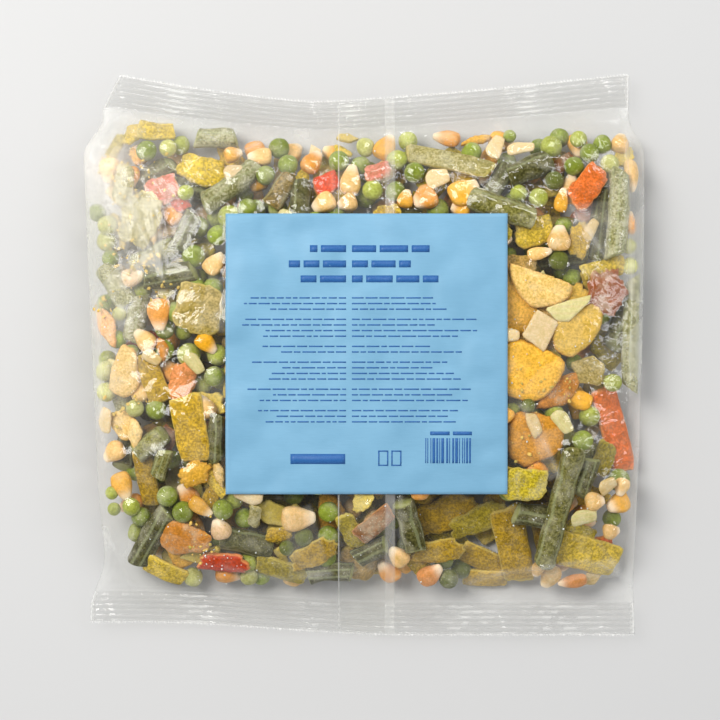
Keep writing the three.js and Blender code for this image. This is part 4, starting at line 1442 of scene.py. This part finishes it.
TOOTH = 1.25
TOOTH_LENGTH = 0.9
TOOTH_THICKNESS = 0.3
tooth_places, tooth_turns = [], []
for row, way in ((0, -1), (n_rows - 1, 1)):
    length = np.concatenate([[0], np.cumsum(np.hypot(np.diff(fx[row]), np.diff(fy[row])))])
    for d in np.arange(TOOTH / 2, length[-1], TOOTH):
        x = float(np.interp(d, length, fx[row]))
        y = float(np.interp(d, length, fy[row]))
        z = float(np.interp(d, length, fz[row])) - SEAL_HALF_THICKNESS
        lean = math.atan2(np.interp(d + 0.5, length, fy[row]) - np.interp(d - 0.5, length, fy[row]), 1.0)
        tilt = dice.uniform(-0.35, 0.35)
        tooth_places.append((x, y + way * 0.05, z))
        tooth_turns.append((-way * math.pi / 2 + tilt, 0, lean))
teeth = mesh_object("cut_edges", tooth_places, [], attributes=[("turn", "FLOAT_VECTOR", tooth_turns)])
made = grown(teeth, teeth_tree(), Width=TOOTH * MM, Length=TOOTH_LENGTH * MM, Thickness=TOOTH_THICKNESS * MM,
    Seed=4, Material=clear_film)
haze = made.attributes.new("haze", "FLOAT", "POINT")
haze.data.foreach_set("value", np.full(len(made.vertices), TOOTH_HAZE))


# The label and its plain print

PAPER_CLEARANCE = 0.02
PAPER_THICKNESS = 0.2
INK_CLEARANCE = 0.02
INK_THICKNESS = 0.02
PAPER_STEP, INK_STEP = 1.3, 1.6


def sheet_on_label(x0, x1, y0, y1, base, thick, step):
    """A thin closed sheet between two heights over the label's own surface."""
    nx = max(1, int(round((x1 - x0) / step)))
    ny = max(1, int(round((y1 - y0) / step)))
    x, y = np.meshgrid(np.linspace(x0, x1, nx + 1), np.linspace(y0, y1, ny + 1))
    z = sample(paper, x, y) + PAPER_CLEARANCE
    return closed_sheet(x, y, z + base, z + base + thick)


def paper_material():
    material, tree, where = new_material("blue_label")
    wide = node(tree, "ShaderNodeMapping", {"Vector": where, "Scale": (0.25, 2.2, 1.0)}).outputs[0]
    fibres = noise_of(tree, wide, 900.0, 3.0)
    cloud = noise_of(tree, where, 60.0, 3.0)
    uneven = math_of(tree, "ADD", math_of(tree, "MULTIPLY", fibres, 0.4), cloud)
    colour = mix(tree, ramp(tree, uneven, 0.4, 1.0), linear((108, 158, 188)), linear((117, 167, 197)))
    bump = node(tree, "ShaderNodeBump", {"Height": fibres, "Strength": 0.12, "Distance": 0.0003})
    return painted(material, Base_Color=colour, Roughness=0.55, Normal=bump.outputs[0])


left = LABEL_X - LABEL_WIDTH / 2
right = LABEL_X + LABEL_WIDTH / 2
low = LABEL_Y - LABEL_LENGTH / 2
high = LABEL_Y + LABEL_LENGTH / 2
label_verts, label_faces = sheet_on_label(left, right, low, high, 0.0, PAPER_THICKNESS, PAPER_STEP)
label = mesh_object("paper_label", label_verts, label_faces, paper_material())

ink_verts, ink_faces, ink_count = [], [], 0


def ink(x0, x1, y0, y1):
    """A field of ink, from its left, right, lower and upper edge."""
    global ink_count
    verts, faces = sheet_on_label(x0, x1, y0, y1, PAPER_THICKNESS + INK_CLEARANCE, INK_THICKNESS, INK_STEP)
    ink_verts.append(verts)
    ink_faces.extend([[v + ink_count for v in face] for face in faces])
    ink_count += len(verts)


def words(x0, x1, y, tall, average, gap, from_right=False):
    """A line of bars of uneven length, from one side of its column."""
    x = 0.0
    while x < x1 - x0 - 1.0:
        wide = min(average * dice.uniform(0.45, 1.6), x1 - x0 - x)
        a, b = (x1 - x - wide, x1 - x) if from_right else (x0 + x, x0 + x + wide)
        ink(a, b, y - tall / 2, y + tall / 2)
        x += wide + gap


HEADING_Y = (39.7, 34.0, 28.4)
MIDLINE_LEFT, MIDLINE_RIGHT = -6.7, -4.5
BIG_BAR, SMALL_BAR = 2.6, 0.5
LINE_PITCH, BLOCK_GAP = 2.1, 1.7
FIRST_LINE_Y = 21.3
STRIPES_X, STRIPES_Y = (22.9, 40.3), (-40.5, -31.1)
BOX, BOX_LINE = 3.8, 0.5
BOX_BOTTOM, BOX_TOP = -41.5, -36.2
for y, wide_left, wide_right in zip(HEADING_Y, (13.5, 21.4, 17.0), (29.0, 22.0, 32.3)):
    words(MIDLINE_LEFT - wide_left, MIDLINE_LEFT, y, BIG_BAR, 6.5, 1.3, True)
    words(MIDLINE_RIGHT, MIDLINE_RIGHT + wide_right, y, BIG_BAR, 7.5, 1.3)
y = FIRST_LINE_Y
for lines in (3, 4, 2, 4, 3, 3):
    for _ in range(lines):
        words(MIDLINE_LEFT - dice.uniform(24, 39), MIDLINE_LEFT, y, SMALL_BAR, 3.2, 0.7, True)
        words(MIDLINE_RIGHT, MIDLINE_RIGHT + dice.uniform(30, 47), y, SMALL_BAR, 3.6, 0.7)
        y -= LINE_PITCH
    y -= BLOCK_GAP
x = STRIPES_X[0]
while x < STRIPES_X[1]:
    wide = dice.choice([0.35, 0.35, 0.7, 1.05])
    ink(x, x + wide, *STRIPES_Y)
    x += wide + dice.choice([0.4, 0.4, 0.8])
ink(24.7, 32.0, -30.0, -28.6)
ink(33.2, 40.3, -30.0, -28.6)
for x in (5.3, 10.2):
    for y in (BOX_BOTTOM, BOX_TOP):
        ink(x, x + BOX, y, y + BOX_LINE)
    for side in (x, x + BOX - BOX_LINE):
        ink(side, side + BOX_LINE, BOX_BOTTOM + BOX_LINE, BOX_TOP)
ink(-27.5, -7.0, -40.8, -37.0)
blue_ink = patchy_material("blue_ink", 2200.0, (34, 98, 160), (20, 82, 150), Roughness=0.5)
print_fields = mesh_object("label_print", np.concatenate(ink_verts), ink_faces, blue_ink)


# Loose crumbs and ice grains under the film, most at the upper left

def grains_tree():
    """Irregular grains: a jagged ball on each point, realized."""
    tree, given = new_tree("loose_grains", Smallest="Float", Largest="Float", Seed="Int", Material="Material")
    grain = node(tree, "GeometryNodeMeshIcoSphere", {"Radius": 0.5, "Subdivisions": 2})
    size = node(tree, "FunctionNodeRandomValue", {2: given["Smallest"], 3: given["Largest"],
        "Seed": given["Seed"]}, data_type="FLOAT")
    turn = node(tree, "FunctionNodeRandomValue", {0: (0, 0, 0), 1: (6.3, 6.3, 6.3), "Seed": given["Seed"]},
        data_type="FLOAT_VECTOR")
    spin = node(tree, "FunctionNodeEulerToRotation", {"Euler": turn.outputs[0]})
    squash = node(tree, "ShaderNodeCombineXYZ", {0: size.outputs[1], 1: math_of(tree, "MULTIPLY",
        size.outputs[1], 0.75), 2: math_of(tree, "MULTIPLY", size.outputs[1], 0.6)})
    spread = node(tree, "GeometryNodeInstanceOnPoints", {"Points": given["Geometry"],
        "Instance": grain.outputs["Mesh"], "Rotation": spin.outputs[0], "Scale": squash.outputs[0]})
    real = node(tree, "GeometryNodeRealizeInstances", {"Geometry": spread.outputs[0]})
    place = node(tree, "GeometryNodeInputPosition").outputs[0]
    jag = node(tree, "ShaderNodeTexNoise", {"Vector": place, "Scale": 1800.0, "Detail": 1.0}).outputs["Color"]
    away = node(tree, "ShaderNodeVectorMath", {0: jag, 1: (0.5, 0.5, 0.5)}, operation="SUBTRACT")
    offset = node(tree, "ShaderNodeVectorMath", {0: away.outputs[0], "Scale": 0.0005}, operation="SCALE")
    moved = node(tree, "GeometryNodeSetPosition", {"Geometry": real.outputs[0], "Offset": offset.outputs[0]})
    return finished(tree, moved, given)


def grain_material(name, light, dark, rough):
    return patchy_material(name, 330.0, dark, light, Roughness=rough, Subsurface_Weight=0.2,
        Subsurface_Radius=(0.8, 0.7, 0.5), Subsurface_Scale=0.001)


def grains(name, tree, spots, count, sizes, seed, material, hung=0.0):
    """Grains that lie on the food under the film, gathered round a few spots (x, y, reach)."""
    places = []
    while len(places) < count:
        x, y, reach = spots[dice.integers(len(spots))]
        px = x + dice.normal() * reach
        py = y + dice.normal() * reach
        ground = float(sample(tops, np.array(px), np.array(py)))
        roof = float(sample(skin, np.array(px), np.array(py)))
        if not float(sample(in_body.astype(float), np.array(px), np.array(py))) > 0.9 or ground < 1:
            continue
        lying = min(ground + 0.2 * sizes[1], roof - 0.5 * sizes[1])
        places.append((px, py, roof - 0.45 * sizes[1] if dice.random() < hung else lying))
    made = mesh_object(name, places, [])
    grown(made, tree, Smallest=sizes[0] * MM, Largest=sizes[1] * MM, Seed=seed, Material=material)
    return made


grain_tree = grains_tree()
CRUMB_SPOTS = [(-95, 72, 4), (-93, 60, 4), (-92, 42, 5), (-86, 33, 4), (-82, 66, 5), (-75, 26, 4),
    (-80, 36, 3), (-98, 20, 3), (62, -4, 8), (70, -10, 5), (-90, -20, 4), (56, -40, 6), (-62, -70, 5)]
ICE_SPOTS = [(-70, 50, 14), (-60, -55, 14), (60, -60, 16), (70, 60, 14), (0, -75, 18), (0, 72, 18),
    (-85, 0, 12), (92, 0, 10), (62, -2, 8), (-55, -78, 6)]
crumbs = grains("crumbs", grain_tree, CRUMB_SPOTS, 260, (0.6, 2.1), 3,
    grain_material("crumb", (226, 186, 84), (180, 158, 60), 0.6), hung=0.7)
ice = grains("ice_grains", grain_tree, ICE_SPOTS, 260, (0.3, 0.9), 9,
    grain_material("ice", (236, 238, 236), (206, 212, 206), 0.35))


# Everything rides on the part

for piece in [film, flap, teeth, *contents, crumbs, ice]:
    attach(piece, "root")
    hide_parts("bag")
for piece in (label, print_fields):
    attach(piece, "root")
    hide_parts("label")


# The table, the lamps and the camera

def floor_material():
    material, tree, where = new_material("table_top")
    colour = mix(tree, noise_of(tree, where, 3.0, 2.0), (0.55, 0.55, 0.55), (0.58, 0.58, 0.58))
    return painted(material, Base_Color=colour, Roughness=0.7)


FLOOR = 900.0
ROOM_WALLS = 0.8
ROOM_CEILING = 0.10
floor = mesh_object("table", [(-FLOOR, -FLOOR, 0), (FLOOR, -FLOOR, 0), (FLOOR, FLOOR, 0), (-FLOOR, FLOOR, 0)],
    [(0, 1, 2, 3)], floor_material())


def lamp(name, place, at, size, power, colour=(1, 1, 1)):
    data = bpy.data.lights.new(name, "AREA")
    data.shape = "RECTANGLE"
    data.size, data.size_y = size
    data.energy = power
    data.color = colour
    made = bpy.data.objects.new(name, data)
    bpy.context.scene.collection.objects.link(made)
    made.location = place
    made.rotation_euler = (Vector(at) - Vector(place)).to_track_quat("-Z", "Y").to_euler()


lamp("window_left", (-0.54, 0.38, 0.95), (0, 0, 0), (0.5, 0.7), 12.0, (1.0, 0.98, 0.945))
lamp("strip_far", (0.3, 0.8, 0.8), (0, 0.05, 0), (0.7, 0.15), 2.6)
lamp("strip_right", (0.85, 0.1, 0.75), (0.1, 0, 0), (0.15, 0.6), 1.9)

world = bpy.data.worlds.new("room")
world.use_nodes = True
room_tree = world.node_tree
way = node(room_tree, "ShaderNodeTexCoord").outputs["Generated"]
height = node(room_tree, "ShaderNodeSeparateXYZ", {0: way}).outputs[2]
room_tree.links.new(ramp(room_tree, height, 0.62, 0.86, ROOM_WALLS, ROOM_CEILING),
    room_tree.nodes["Background"].inputs[1])
room_tree.nodes["Background"].inputs[0].default_value = (0.95, 0.97, 1.0, 1)
scene = bpy.context.scene
scene.world = world

MM_PER_PIXEL = 0.375
PHOTO_WIDTH = 720
PHOTO_CENTRE = (-1.5, -1.9)
CAMERA_HEIGHT = 1600.0
camera_data = bpy.data.cameras.new("camera")
camera_data.sensor_width = 36
camera_data.lens = 36 * (CAMERA_HEIGHT - 22) / (PHOTO_WIDTH * MM_PER_PIXEL)
camera_data.clip_start = 0.05
camera = bpy.data.objects.new("camera", camera_data)
scene.collection.objects.link(camera)
camera.location = (PHOTO_CENTRE[0] * MM, PHOTO_CENTRE[1] * MM, CAMERA_HEIGHT * MM)
scene.camera = camera

scene.view_settings.view_transform = "Standard"
scene.cycles.transparent_max_bounces = 10
scene.cycles.max_bounces = 4
scene.cycles.diffuse_bounces = 2
scene.cycles.glossy_bounces = 2
scene.cycles.use_denoising = True

bpy.context.view_layer.update()
